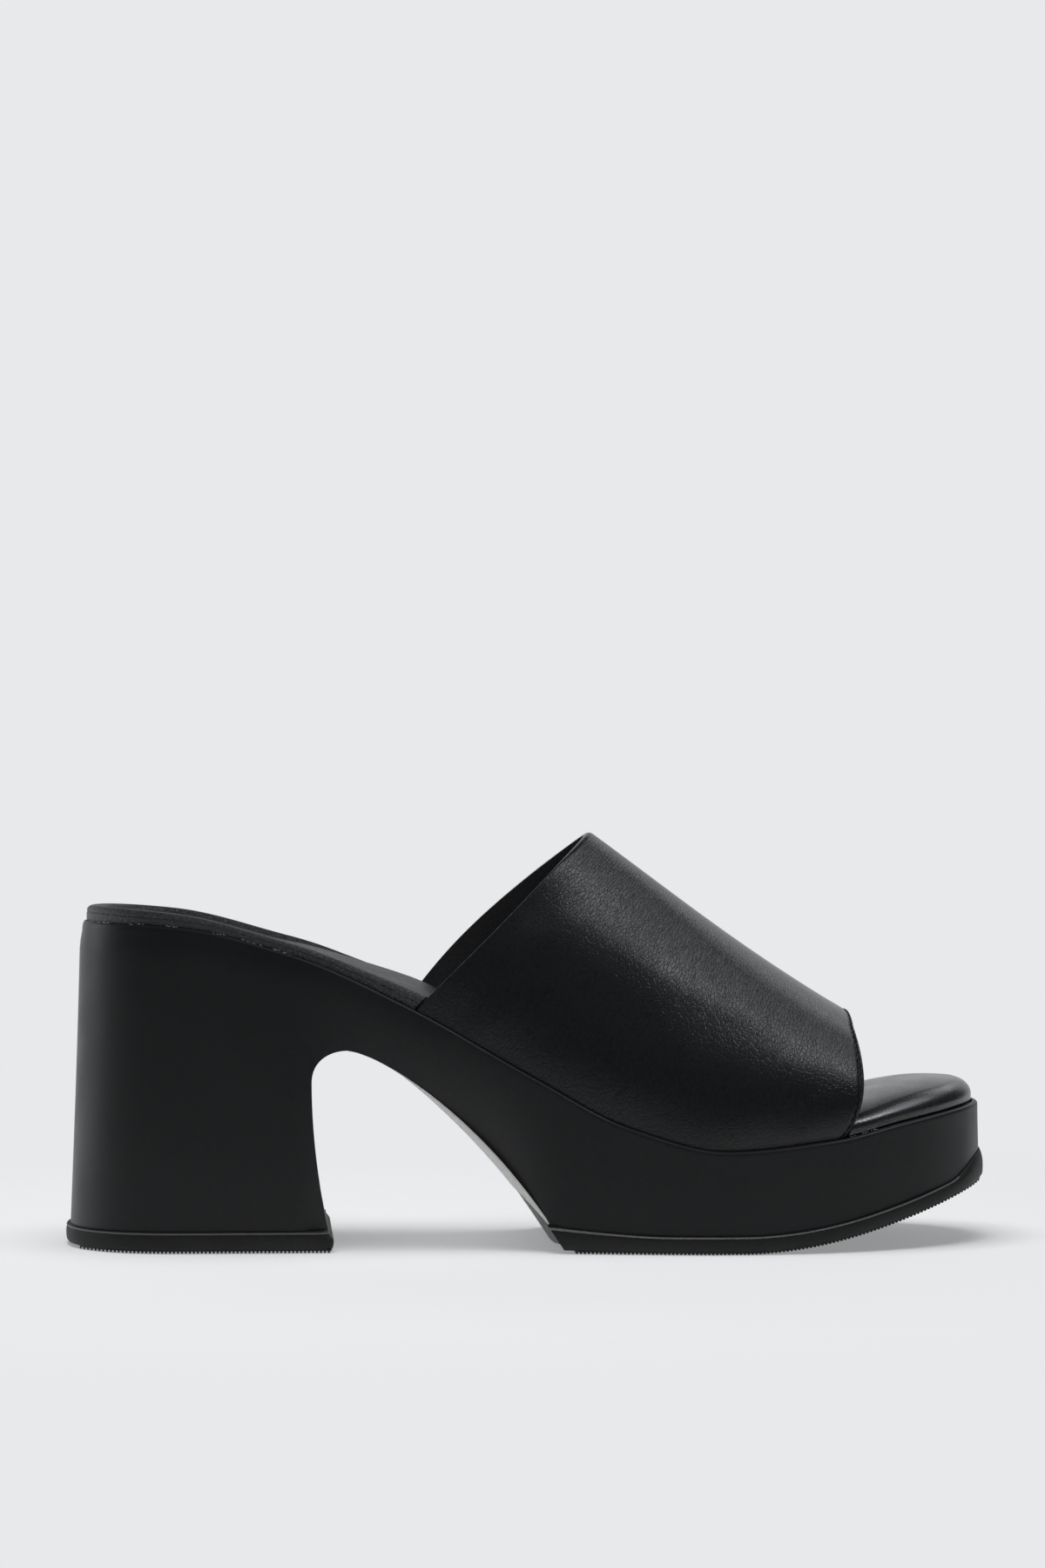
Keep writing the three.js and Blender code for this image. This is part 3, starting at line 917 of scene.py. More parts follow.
@dataclass(frozen=True)
class MouldedFinish:
    """Moulded sole or rubber: matte and dense, with a fine skin and, on rubber, a knurled bead."""

    name: str
    tone: Colour
    dusty: Colour
    roughness: tuple[float, float]
    skin: float = 1700.0
    depth: float = 0.00003
    specular: float = 0.5
    knurl: float = 0.0
    knurl_height: float = 0.55

    def make(self, effects: Effects) -> bpy.types.Material:
        """Builds the material.

        Args:
            effects: the shared effects.

        Returns:
            The material.
        """
        material, nodes, shader = fresh_material(self.name)
        coords = nodes.add("TexCoord")
        place = coords.outputs["Object"]
        touch = nodes.add("Group", {"Vector": place}, node_tree=effects.handling)
        fine = nodes.add("TexNoise", {"Vector": place, "Scale": self.skin, "Detail": 3.0, "Roughness": 0.6})
        height = fine.outputs["Fac"]
        if self.knurl:
            split = nodes.add("SeparateXYZ", {"Vector": coords.outputs["UV"]})
            wave = nodes.math("SINE", nodes.math("MULTIPLY", split.outputs["X"], self.knurl))
            height = nodes.math("ADD", height, nodes.math("MULTIPLY", wave, self.knurl_height))
        looks = {
            "Base Color": nodes.blend(touch.outputs["Dust"], self.tone, self.dusty),
            "Roughness": nodes.ramp(touch.outputs["Clouds"], 0.0, 1.0, *self.roughness),
            "Normal": nodes.bump(height, self.depth),
            "Specular IOR Level": self.specular,
        }
        nodes.feed(shader, looks)
        return material


@dataclass(frozen=True)
class TrimFinish:
    """Small trim, such as thread, edge paint, lining and glue."""

    name: str
    tone: Colour
    shade: Colour
    roughness: float
    scale: float = 1400.0
    depth: float = 0.00008

    def make(self) -> bpy.types.Material:
        """Builds the material.

        Returns:
            The material.
        """
        material, nodes, shader = fresh_material(self.name)
        place = nodes.add("TexCoord").outputs["Object"]
        cloth = nodes.add("TexNoise", {"Vector": place, "Scale": self.scale, "Detail": 3.0})
        looks = {
            "Base Color": nodes.blend(nodes.ramp(cloth.outputs["Fac"], 0.35, 0.65), self.shade, self.tone),
            "Roughness": self.roughness,
            "Normal": nodes.bump(cloth.outputs["Fac"], self.depth),
        }
        nodes.feed(shader, looks)
        return material


@dataclass
class Wardrobe:
    """Every material of the mule."""

    effects: Effects = field(default_factory=Effects)

    def __post_init__(self) -> None:
        """Makes the materials."""
        self.leather = GrainedFinish(
            "strap_leather", (0.0112, 0.012, 0.0134), (0.007, 0.0074, 0.0082), (0.29, 0.305),
            wrinkles=1100.0, pores=2300.0, stretch=(0.5, 1.0, 1.0), depth=0.00005,
        ).make(self.effects)
        self.sock = GrainedFinish(
            "footbed_leather", (0.0125, 0.013, 0.014), (0.006, 0.006, 0.0065), (0.46, 0.54),
            wrinkles=800.0, pores=1700.0, stretch=(0.8, 1.0, 1.0), depth=0.00024, specular=1.0, by_uv=False,
            taut_from=0.066,
        ).make(self.effects)
        self.sole = MouldedFinish(
            "sole_unit", (0.0072, 0.0078, 0.0086), (0.012, 0.0125, 0.013), (0.4, 0.48), specular=0.38,
        ).make(self.effects)
        self.rubber = MouldedFinish(
            "outsole_rubber", (0.0105, 0.0108, 0.011), (0.02, 0.02, 0.02), (0.55, 0.68), skin=1300.0,
            depth=0.00009, specular=0.35,
        ).make(self.effects)
        # The rib's pale grey tone, with paler specks, paints a highlight line along the outsole's ledge; its
        # knurl is a bump.
        self.rib = MouldedFinish(
            "outsole_rib_painted_highlight", (0.15, 0.154, 0.158), (0.22, 0.22, 0.22), (0.35, 0.5), skin=1900.0,
            depth=0.00016, knurl=8200.0,
        ).make(self.effects)
        self.tongue = MouldedFinish(
            "outsole_tongue", (0.05, 0.05, 0.051), (0.07, 0.07, 0.07), (0.4, 0.5), skin=1300.0, depth=0.00003,
            specular=0.9,
        ).make(self.effects)
        self.panel = MouldedFinish(
            "arch_panel_pale", (0.72, 0.71, 0.68), (0.64, 0.63, 0.6), (0.42, 0.52), skin=900.0,
        ).make(self.effects)
        self.lining = TrimFinish("strap_lining", (0.058, 0.059, 0.063), (0.042, 0.043, 0.046), 0.6).make()
        # The edge paint is a pale grey, partly the edge's own paint and partly a painted highlight line along
        # the collar's cut edge.
        self.edge = TrimFinish("edge_paint_and_highlight", (0.3, 0.303, 0.31), (0.24, 0.24, 0.247), 0.35).make()
        self.thread = TrimFinish("thread", (0.011, 0.011, 0.011), (0.004, 0.004, 0.004), 0.6).make()
        self.glue = TrimFinish("glue", (0.5, 0.49, 0.46), (0.26, 0.25, 0.24), 0.45).make()


@dataclass
class SoleUnit:
    """The moulded platform and block heel, one piece with a shallow tray on top."""

    last: Last
    arch: Arch
    strap: "Strap"
    gap: float = 0.3
    wall_round: float = 1.1
    heel_extra: float = 1.6
    shoulder: float = 0.6
    shoulder_reach: float = 6.0
    undercut: float = 13.0

    def _shoulder(self, x: np.ndarray) -> np.ndarray:
        """How far the wall is drawn in below the lip: at the heel only."""
        return self.shoulder * (1 - smooth(x, 40, 130))

    def _round(self, x: np.ndarray) -> np.ndarray:
        """The radius of the lip's outer edge: larger round the heel."""
        return self.wall_round + self.heel_extra * (1 - smooth(x, 6, 60))

    def _wall(self, up: float) -> np.ndarray:
        """One ring of the wall.

        Args:
            up: its share of the wall's height.

        Returns:
            The ring.
        """
        last = self.last

        def offset(x: np.ndarray) -> np.ndarray:
            """The wall's flare, drawn in towards the lip and leaning under at the waist.

            Args:
                x: places along the shoe.

            Returns:
                How far outwards each place stands.
            """
            tall = last.edge_height(x) - last.plate_height(x)
            below = np.clip(1 - (1 - up) * tall / self.shoulder_reach, 0, 1)
            waist = smooth(x, 58, 80) * (1 - smooth(x, 100, 130))
            return last.flare(x, up) - self._shoulder(x) * below**2 - self.undercut * waist * (1 - up) ** 2

        ring = last.ring(offset)
        x = np.clip(ring[:, 0], 0, last.length)
        ring[:, 2] = mix(last.plate_height(x) + self.gap, last.edge_height(x) - self._round(x), up)
        return ring

    def _rim(self, turn: float) -> np.ndarray:
        """One ring of the lip's rounded top.

        Args:
            turn: its angle, from 0 at the wall to 90 at the lip's flat.

        Returns:
            The ring.
        """
        t = math.radians(turn)

        def offset(x: np.ndarray) -> np.ndarray:
            """How far in the ring stands."""
            start = self._shoulder(x)
            return -start - (self.last.lip_width - 0.1 - start) * (1 - math.cos(t))

        ring = self.last.ring(offset)
        x = np.clip(ring[:, 0], 0, self.last.length)
        ring[:, 2] = self.last.edge_height(x) - self._round(x) * (1 - math.sin(t))
        return ring

    def _inner(self, below: float) -> np.ndarray:
        """One ring of the lip's inner side.

        Args:
            below: how far below the lip it lies.

        Returns:
            The ring.
        """
        ring = self.last.ring(lambda x: np.full(len(x), -self.last.lip_width))
        ring[:, 2] = self.last.edge_height(np.clip(ring[:, 0], 0, self.last.length)) - below
        return ring

    def build(self, wardrobe: Wardrobe) -> None:
        """Builds and dresses the sole unit.

        Args:
            wardrobe: the materials.
        """
        last = self.last
        shares = (0, 0.02, 0.06, 0.12, 0.2, 0.3, 0.4, 0.5, 0.6, 0.7, 0.78, 0.85, 0.9, 0.94, 0.97, 1)
        walls = [self._wall(up) for up in shares]
        lip = [self._rim(turn) for turn in range(15, 91, 15)]
        tray = [self._inner(0.2), self._inner(last.tray_depth)]
        ends = [last.spine(ring, *SOLE_SPINE) for ring in (walls[0], tray[-1])]
        sole = Bench.loft("platform_sole_unit", [ends[0], *walls, *lip, *tray, ends[1]])
        sole.data.materials.append(wardrobe.sole)
        Bench.cut(sole, Bench.cutter(self.arch.profile(0), last.ball_width * 2))
        Bench.cut(sole, self.strap.shell("clearance", self.gap))
        Bench.shade(sole, 38)
        settle(sole, ["platform_sole"])


@dataclass
class Strap:
    """The wide strap: two faces, a folded front edge with one row of stitches, and a cut collar edge."""

    last: Last
    wall: float = 1.9
    back: float = 90.2
    front: float = 204.5
    collar_reach: float = 138.6
    collar_height: float = 111.9
    collar_sweep: float = 2.0
    collar_slack: float = 1.9
    opening_reach: float = 210.4
    opening_height: float = 61.8
    opening_bow: float = 3.2
    ridge_sag: float = 1.5
    ridge_shift: float = 3
    side_bulge: float = 0.018
    lip_hold: float = 0.6
    margin: float = 11
    margin_round: float = 2.6
    play: float = 0.1
    gap: float = 0.3
    fold_round: float = 0.8
    seam_inset: float = 1.5
    stitch_pitch: float = 2.3
    stitch_sink: float = 0.06
    side_round: float = 0.3
    collar_round: float = 1.75
    edge_reach: float = 8

    def _beside_lip(self, x: np.ndarray, side: Side) -> np.ndarray:
        """Where the outer face stands beside the lip."""
        return self.last.edge_y(x, side) - side.value * (self.last.lip_width + self.gap + self.play)

    def _arch(self, s: np.ndarray, turn: np.ndarray) -> np.ndarray:
        """The arched part of the outer face.

        Args:
            s: shares of the strap's length, from collar to opening.
            turn: shares of the arch, from the outer foot to the inner.

        Returns:
            The places, in the last's frame.
        """
        foot_x = mix(self.back, self.front, s)
        foot_z = self.last.edge_height(foot_x)
        outer_y, inner_y = (self._beside_lip(foot_x, side) for side in Side)
        at = np.clip(s, 0, 1)
        sag = self.ridge_sag * np.sin(np.pi * at**1.3)
        rise_x = mix(self.collar_reach, self.opening_reach, s) - foot_x
        rise_y = self.ridge_shift - (outer_y + inner_y) / 2
        rise_z = mix(self.collar_height, self.opening_height, s) - sag - foot_z
        across = Profile((0, 0.5, 1), (2, 2.15, 2.3))(s)
        upward = Profile((0, 0.5, 1), (2.05, 2.1, 2.15))(s)
        c = np.cos(np.pi * turn)
        b = np.abs(np.sin(np.pi * turn)) ** (2 / upward)
        bulge = 1 + self.side_bulge * np.sin(np.pi * np.clip(b / 0.6, 0, 1))
        a = -np.sign(c) * np.abs(c) ** (2 / across) * bulge
        sweep = self.collar_sweep * c * (1 - at) ** 2 * np.sin(np.pi * np.clip(b, 0, 1))
        slack = self.collar_slack * (1 - at) ** 2 * np.sin(np.pi * np.clip(b, 0, 1) ** 0.8)
        bow = self.opening_bow * s * s * np.sin(np.pi * np.clip(b / 0.9, 0, 1) ** 0.75) + sweep - slack
        x = foot_x + rise_x * b
        own = smooth(b, 0, self.lip_hold)
        left = mix(self._beside_lip(x, Side.OUTER), outer_y, own)
        right = mix(self._beside_lip(x, Side.INNER), inner_y, own)
        y = mix(left, right, (1 + a) / 2) + rise_y * b * b
        return np.stack((x + bow, y, foot_z + rise_z * b), -1)

    def _tuck(self, s: np.ndarray, side: Side, share: np.ndarray, extra: float) -> np.ndarray:
        """The part below the lip: down, round and in under the footbed.

        Args:
            s: shares of the strap's length.
            side: the side of the foot.
            share: shares of the part, from the lip to the margin's end.
            extra: how much longer the margin is.

        Returns:
            The places, rows by columns.
        """
        x = mix(self.back, self.front, s)
        top = self.last.edge_height(x)
        bottom = self.last.tray_height(x) - self.wall - self.play
        straight = top - bottom - self.margin_round
        arc = self.margin_round * np.pi / 2
        run = share * (straight + arc + self.margin - self.margin_round + extra)
        turned = np.clip((run - straight) / self.margin_round, 0, np.pi / 2)
        flat = np.maximum(0, run - straight - arc)
        inwards = self.margin_round * (1 - np.cos(turned)) + flat
        z = top - np.minimum(run, straight) - self.margin_round * np.sin(turned)
        return np.stack((x + 0 * z, self._beside_lip(x, side) - side.value * inwards, z), -1)

    def face(self, along: np.ndarray, turns: np.ndarray, tuck: np.ndarray, extra: float) -> np.ndarray:
        """The outer face from margin to margin.

        Args:
            along: shares of the length, one for each row.
            turns: shares of the arch, from 0 to 1.
            tuck: shares of the part below the lip, falling from 1.
            extra: how much longer the margins are.

        Returns:
            The places, rows by columns.
        """
        s = along[:, None]
        left = self._tuck(s, Side.OUTER, tuck[None, :], extra)
        arch = self._arch(s + 0 * turns[None, :], turns[None, :] + 0 * s)
        right = self._tuck(s, Side.INNER, tuck[::-1][None, :], extra)
        return np.concatenate((left, arch, right), axis=1)

    @staticmethod
    def normals(face: np.ndarray) -> np.ndarray:
        """The outward directions of a face.

        Args:
            face: its places, rows by columns.

        Returns:
            The unit directions, laid out the same way.
        """
        forwards, around = np.gradient(face, axis=0), np.gradient(face, axis=1)
        out = np.cross(forwards, around)
        return out / np.linalg.norm(out, axis=-1, keepdims=True)

    def shell(self, name: str, grown: float) -> bpy.types.Object:
        """The strap grown by a clearance, which cuts the sole and the footbed.

        Args:
            name: the piece's name.
            grown: the clearance.

        Returns:
            The grown strap.
        """
        extra = grown * 2
        past = extra / (self.front - self.back)
        along = np.linspace(-past, 1 + past, 27)
        tuck = np.array((1, 0.66, 0.44, 0.39, 0.34, 0.29, 0.24, 0.12))
        face = self.face(along, np.linspace(0, 1, 25), tuck, extra)
        out = self.normals(face)
        return Bench.slab(name, face + out * grown, face - out * (self.wall + grown))

    def _rows(self) -> np.ndarray:
        """Where the rows lie, close together at both edges.

        Returns:
            Shares of the strap's length.
        """
        span = self.front - self.back
        near = np.array((0, 0.12, 0.25, 0.4, 0.6, 0.8, 1.0, 1.2, 1.4, 1.6, 1.8, 2.05, 2.4, 2.9, 3.6, 4.6, 6))
        middle = np.linspace(6, span - 6, 66)[1:-1]
        return np.concatenate((near, middle, (span - near)[::-1])) / span

    def _relief(self, face: np.ndarray) -> np.ndarray:
        """How far the outer face stands out: rolled edges, seam groove, and soft troughs and ridges.

        Args:
            face: its places, rows by columns.

        Returns:
            The distances, laid out the same way.
        """
        run = run_length(face)
        ahead = run[-1] - run
        out = -rolled(ahead, self.fold_round) - 0.2 * bump_at(ahead, self.seam_inset, 0.3)
        out += 0.07 * smooth(ahead, 0.3, 0.8) * (1 - smooth(ahead, 0.8, 1.4))
        out += 0.1 * smooth(ahead, 1.6, 2.4) * (1 - smooth(ahead, 3.0, 9.0))
        out -= rolled(run, mix(self.side_round, self.collar_round, smooth(face[..., 2], 100, 109)))
        calm = smooth(run, 1.5, 12) * smooth(ahead, 2.5, 12)
        for crease in STRAP_CREASES:
            out += calm * crease.lift(face[..., 0], face[..., 2], face[..., 1] < 0)
        return out

    def build(self, wardrobe: Wardrobe) -> None:
        """Builds and dresses the strap and its stitches.

        Args:
            wardrobe: the materials.
        """
        turns = np.linspace(0, 1, 121)
        tuck = np.array(
            (1, 0.83, 0.66, 0.5, 0.44, 0.415, 0.39, 0.365, 0.34, 0.315, 0.29, 0.265, 0.24, 0.18, 0.1)
        )
        along = self._rows()
        face = self.face(along, turns, tuck, 0)
        out = self.normals(face)
        outer = face + out * self._relief(face)[..., None]
        strap = Bench.slab("strap_upper", outer, face - out * self.wall)
        for material in (wardrobe.leather, wardrobe.lining, wardrobe.edge):
            strap.data.materials.append(material)
        inner_first = outer.shape[0] * outer.shape[1]
        for polygon in strap.data.polygons:
            inner = sum(corner >= inner_first for corner in polygon.vertices)
            behind = StrapFace.LINING if inner == len(polygon.vertices) else StrapFace.EDGE
            polygon.material_index = behind if inner else StrapFace.LEATHER
        Bench.bevel(strap, 0.0006, 3, angle_limit=math.radians(50), material=StrapFace.EDGE)
        # Only the collar's edge keeps the pale paint with its painted highlight; the other edges take the
        # leather.
        highlight_edge_end = metres(np.array((self.collar_reach + self.edge_reach, 0.0, 0.0)))[0]
        for polygon in strap.data.polygons:
            if polygon.material_index == StrapFace.EDGE and polygon.center.x > highlight_edge_end:
                polygon.material_index = StrapFace.LEATHER
        Bench.shade(strap, 50)
        settle(strap, ["upper"])
        self._stitch(outer[:, len(tuck) : -len(tuck)], out[:, len(tuck) : -len(tuck)], wardrobe)

    def _stitch(self, face: np.ndarray, out: np.ndarray, wardrobe: Wardrobe) -> None:
        """Lays one row of stitches in the seam groove behind the front edge.

        Args:
            face: the arched part of the outer face, rows by columns.
            out: its outward directions.
            wardrobe: the materials.
        """
        run = run_length(face)
        ahead = run[-1] - run
        path, ups = [], []
        for column in range(face.shape[1]):
            order = np.argsort(ahead[:, column])
            path.append(value_at(self.seam_inset, ahead[order, column], face[order, column]))
            ups.append(value_at(self.seam_inset, ahead[order, column], out[order, column]))
        path, ups = np.array(path), np.array(ups)
        length = run_length(path)
        count = int(length[-1] / self.stitch_pitch)
        model = self._one_stitch()
        row = []
        for at in (np.arange(count) + 0.5) * length[-1] / count:
            place, up = value_at(at, length, path), value_at(at, length, ups)
            way = Vector(value_at(at + 0.2, length, path) - place).normalized()
            normal = Vector(up).normalized()
            side = way.cross(normal).normalized()
            normal = side.cross(way)
            turn = Matrix((way, side, -normal)).transposed().to_4x4()
            shift = Matrix.Translation(Vector(metres(place + up * self.stitch_sink)))
            row.append(Bench.copied(model, shift @ turn))
        bpy.data.objects.remove(model)
        stitches = Bench.join(row, "strap_stitches")
        stitches.data.materials.append(wardrobe.thread)
        Bench.shade(stitches, 60)
        settle(stitches)

    @staticmethod
    def _one_stitch() -> bpy.types.Object:
        """One stitch along X: a short thread that dips at both ends.

        Returns:
            The stitch.
        """
        Bench.clear()
        bpy.ops.mesh.primitive_cylinder_add(
            vertices=8, radius=0.00027, depth=0.0017, rotation=(0, math.pi / 2, 0.1), end_fill_type="NGON"
        )
        stitch = Bench.named("stitch")
        Bench.enter()
        bpy.ops.mesh.bisect(plane_co=(0, 0, 0), plane_no=(1, 0, 0))
        Bench.leave()
        Bench.bevel(stitch, 0.00014, 2)
        for vertex in stitch.data.vertices:
            vertex.co.z += (vertex.co.x / 0.00085) ** 2 * 0.00022
        return stitch


@dataclass(frozen=True)
class Stroke:
    """A soft mark that runs straight from one place to another, seen from one side."""

    start: tuple[float, float]
    end: tuple[float, float]
    width: float
    height: float

    def seen_from(self, first: np.ndarray, second: np.ndarray) -> tuple[np.ndarray, np.ndarray, float]:
        """Places as the stroke sees them.

        Args:
            first: their first coordinate.
            second: their second one.

        Returns:
            How far each lies along the stroke and beside it, and the stroke's length.
        """
        run = np.array(self.end) - np.array(self.start)
        long = float(np.hypot(*run))
        run = run / long
        first, second = first - self.start[0], second - self.start[1]
        return first * run[0] + second * run[1], first * -run[1] + second * run[0], long


class Crease(Stroke):
    """One soft trough or ridge on the strap, seen from the side."""

    def lift(self, x: np.ndarray, z: np.ndarray, here: np.ndarray) -> np.ndarray:
        """How far it lifts each place of a face.

        Args:
            x: places along the shoe.
            z: their heights.
            here: whether each is on the crease's side of the strap.

        Returns:
            The lift, below 0 in a trough.
        """
        along, beside, long = self.seen_from(x, z)
        ends = smooth(along, 0, long * 0.35) * (1 - smooth(along, long * 0.65, long))
        return self.height * here * ends * np.exp(-((beside / self.width) ** 2))


STRAP_CREASES = (
    Crease((104, 98), (176, 59), 9.5, 1.1),
    Crease((98, 58), (118, 84), 4.0, -0.22),
    Crease((104, 52), (128, 80), 5.0, 0.18),
    Crease((186, 30), (203, 52), 4.5, -0.2),
    Crease((176, 31), (196, 60), 6.0, 0.16),
    Crease((140, 40), (166, 66), 8.0, 0.2),
    Crease((150, 33), (182, 48), 6.0, -0.18),
    Crease((120, 50), (150, 78), 7.0, -0.16),
)


class Wrinkle(Stroke):
    """One soft lengthwise wrinkle of the footbed, seen from above."""

    def lift(self, x: np.ndarray, y: np.ndarray) -> np.ndarray:
        """How far it lifts each place of the top.

        Args:
            x: places along the shoe.
            y: places across it.

        Returns:
            The lift, below 0 in a trough.
        """
        along, beside, long = self.seen_from(x, y)
        sway = 0.6 * self.width * np.sin(along * 0.16 + self.start[1])
        ends = smooth(along, 0, long * 0.3) * (1 - smooth(along, long * 0.6, long))
        return self.height * ends * np.exp(-(((beside - sway) / self.width) ** 2))


PAD_WRINKLES = (
    Wrinkle((200, -24), (222, -11), 2.4, -0.04),
    Wrinkle((203, -14), (224, 2), 2.8, -0.07),
    Wrinkle((212, -4), (234, 2), 2.4, -0.05),
    Wrinkle((204, 12), (231, 22), 3.0, -0.07),
    Wrinkle((30, -14), (84, -10), 3.5, -0.16),
    Wrinkle((36, 10), (92, 12), 4.0, -0.16),
)


@dataclass
class Footbed:
    """The padded footbed: a wrapped rim all round, a dished heel seat and a crowned pad at the toe."""

    last: Last
    strap: Strap
    gap: float = 0.3
    rim: float = 5
    cup: float = 1.5
    crown: float = 5
    support: float = 4
    top_steps: int = 12

    @property
    def _inset(self) -> float:
        """How far in from the wall's top edge the footbed's side stands."""
        return self.last.lip_width + self.gap

    def _row(self, inset: float, up: float) -> np.ndarray:
        """One ring of the side.

        Args:
            inset: how far in it stands.
            up: its share of the side's height.

        Returns:
            The ring.
        """
        groove = 0.2 * float(bump_at(np.array(up), 0.6, 0.035))

        def offset(x: np.ndarray) -> np.ndarray:
            """How far in the ring stands: further at the toe, and in a groove towards the heel."""
            inwards = self._inset + inset * (1 + 1.7 * smooth(x, 185, 235))
            return -inwards - groove * (1 - smooth(x, 150, 200))

        ring = self.last.ring(offset)
        x = np.clip(ring[:, 0], 0, self.last.length)
        high = self._rim_height(x) + self._lift(ring[:, 0], ring[:, 1]) * smooth(up, 0.45, 1)
        ring[:, 2] = mix(self.last.tray_height(x) + self.gap, high, up)
        return ring

    def _rim_height(self, x: np.ndarray) -> np.ndarray:
        """Height of the rim along the shoe."""
        shares = Profile(SEAT_SHARES, (1, 0.72, 0.62, 0.68, 0.95, 0.8, 0.75, 0.9, 0.95))
        return self.last.edge_height(x) + self.rim * shares(x / self.last.length)

    def _lift(self, x: np.ndarray, y: np.ndarray) -> np.ndarray:
        """How far the top stands above the rim: cup, crown and arch support.

        Args:
            x: places along the shoe.
            y: places across it.

        Returns:
            The heights over the rim.
        """
        at = np.clip(x / self.last.length, 0, 1)
        outer = self.last.edge_y(np.clip(x, 0, self.last.length), Side.OUTER) + self._inset
        inner = self.last.edge_y(np.clip(x, 0, self.last.length), Side.INNER) - self._inset
        half = np.maximum((inner - outer) / 2, 0.5)
        side = np.clip((y - (inner + outer) / 2) / half, -1, 1)
        cup = 1.35 * self.cup * Profile(SEAT_SHARES, (0.6, 1, 0.8, 0.45, 0, 0, 0, 0, 0))(at)
        crown = self.crown * Profile(SEAT_SHARES, (0, 0, 0, 0.1, 0.3, 0.45, 0.75, 1, 0.8))(at)
        support = self.support * Profile(SEAT_SHARES, (0, 0, 0.1, 0.5, 1, 0.3, 0, 0, 0))(at)
        from_toe = (self.last.length - self._inset - x) / self.last.length
        ends = rounding(at, 0.08, 2) * rounding(from_toe, 0.13, 2)
        bowl = (1 - np.abs(side) ** 3) * crown - (1 - side * side) * cup
        return ends * (bowl + support * np.clip(side, 0, 1) * (1 - side**4))

    def _top(self, edge: np.ndarray) -> list[np.ndarray]:
        """Rings over the top, from the rim to the middle line.

        Args:
            edge: the side's last ring.

        Returns:
            The rings.
        """
        spine = self.last.spine(edge, *BED_SPINE)
        inwards = spine[:, :2] - edge[:, :2]
        reach = np.linalg.norm(inwards, axis=1)
        near = np.array((0.5, 1.0, 1.5, 1.9, 2.3, 2.7, 3.2, 4.0, 5.2, 7.0))
        rings = []
        for j in range(len(near) + self.top_steps):
            if j < len(near):
                deep = np.minimum(near[j], reach)
            else:
                deep = mix(near[-1], reach, (j - len(near) + 1) / self.top_steps)
            ring = edge.copy()
            ring[:, :2] += inwards * (deep / np.maximum(reach, 1e-6))[:, None]
            x = ring[:, 0]
            seam = -1.3 * smooth(deep, 1.5, 2.6) * (1 - smooth(x, 45, 105))
            seam = seam - 0.3 * bump_at(deep, 2.0, 0.4) * smooth(x, 60, 100) * (1 - smooth(x, 150, 190))
            welt = 0.14 * bump_at(deep, 0.8, 0.6) * (1 - smooth(x, 150, 200))
            pad = sum(wrinkle.lift(x, ring[:, 1]) for wrinkle in PAD_WRINKLES) * smooth(deep, 1.0, 5.0)
            ring[:, 2] = self._rim_height(x) + self._lift(x, ring[:, 1]) + seam + welt + pad
            rings.append(ring)
        return rings

    def build(self, wardrobe: Wardrobe) -> None:
        """Builds and dresses the footbed.

        Args:
            wardrobe: the materials.
        """
        sides = (
            (1.3, 0), (0.55, 0.05), (0.15, 0.13), (0, 0.24), (0, 0.36), (0, 0.46), (0, 0.53), (0.01, 0.57),
            (0.02, 0.6), (0.04, 0.64), (0.09, 0.7), (0.2, 0.78), (0.42, 0.86), (0.72, 0.93), (1.08, 0.975),
            (1.5, 1),
        )
        rows = [self._row(inset, up) for inset, up in sides]
        rings = [self.last.spine(rows[0], *BED_SPINE), *rows, *self._top(rows[-1])]
        bed = Bench.loft("padded_footbed", rings)
        bed.data.materials.append(wardrobe.sock)
        Bench.cut(bed, self.strap.shell("clearance", self.gap))
        self._keep_largest(bed)
        Bench.shade(bed, 55)
        settle(bed, ["insole"])

    @staticmethod
    def _keep_largest(piece: bpy.types.Object) -> None:
        """Deletes the crumbs that a cut leaves beside the piece.

        Args:
            piece: the piece.
        """
        Bench.hold(piece)
        Bench.enter()
        bpy.ops.mesh.separate(type="LOOSE")
        Bench.leave()
        parts = sorted(bpy.context.selected_objects, key=lambda o: -len(o.data.vertices))
        name = piece.name
        for crumb in parts[1:]:
            bpy.data.objects.remove(crumb)
        parts[0].name = name


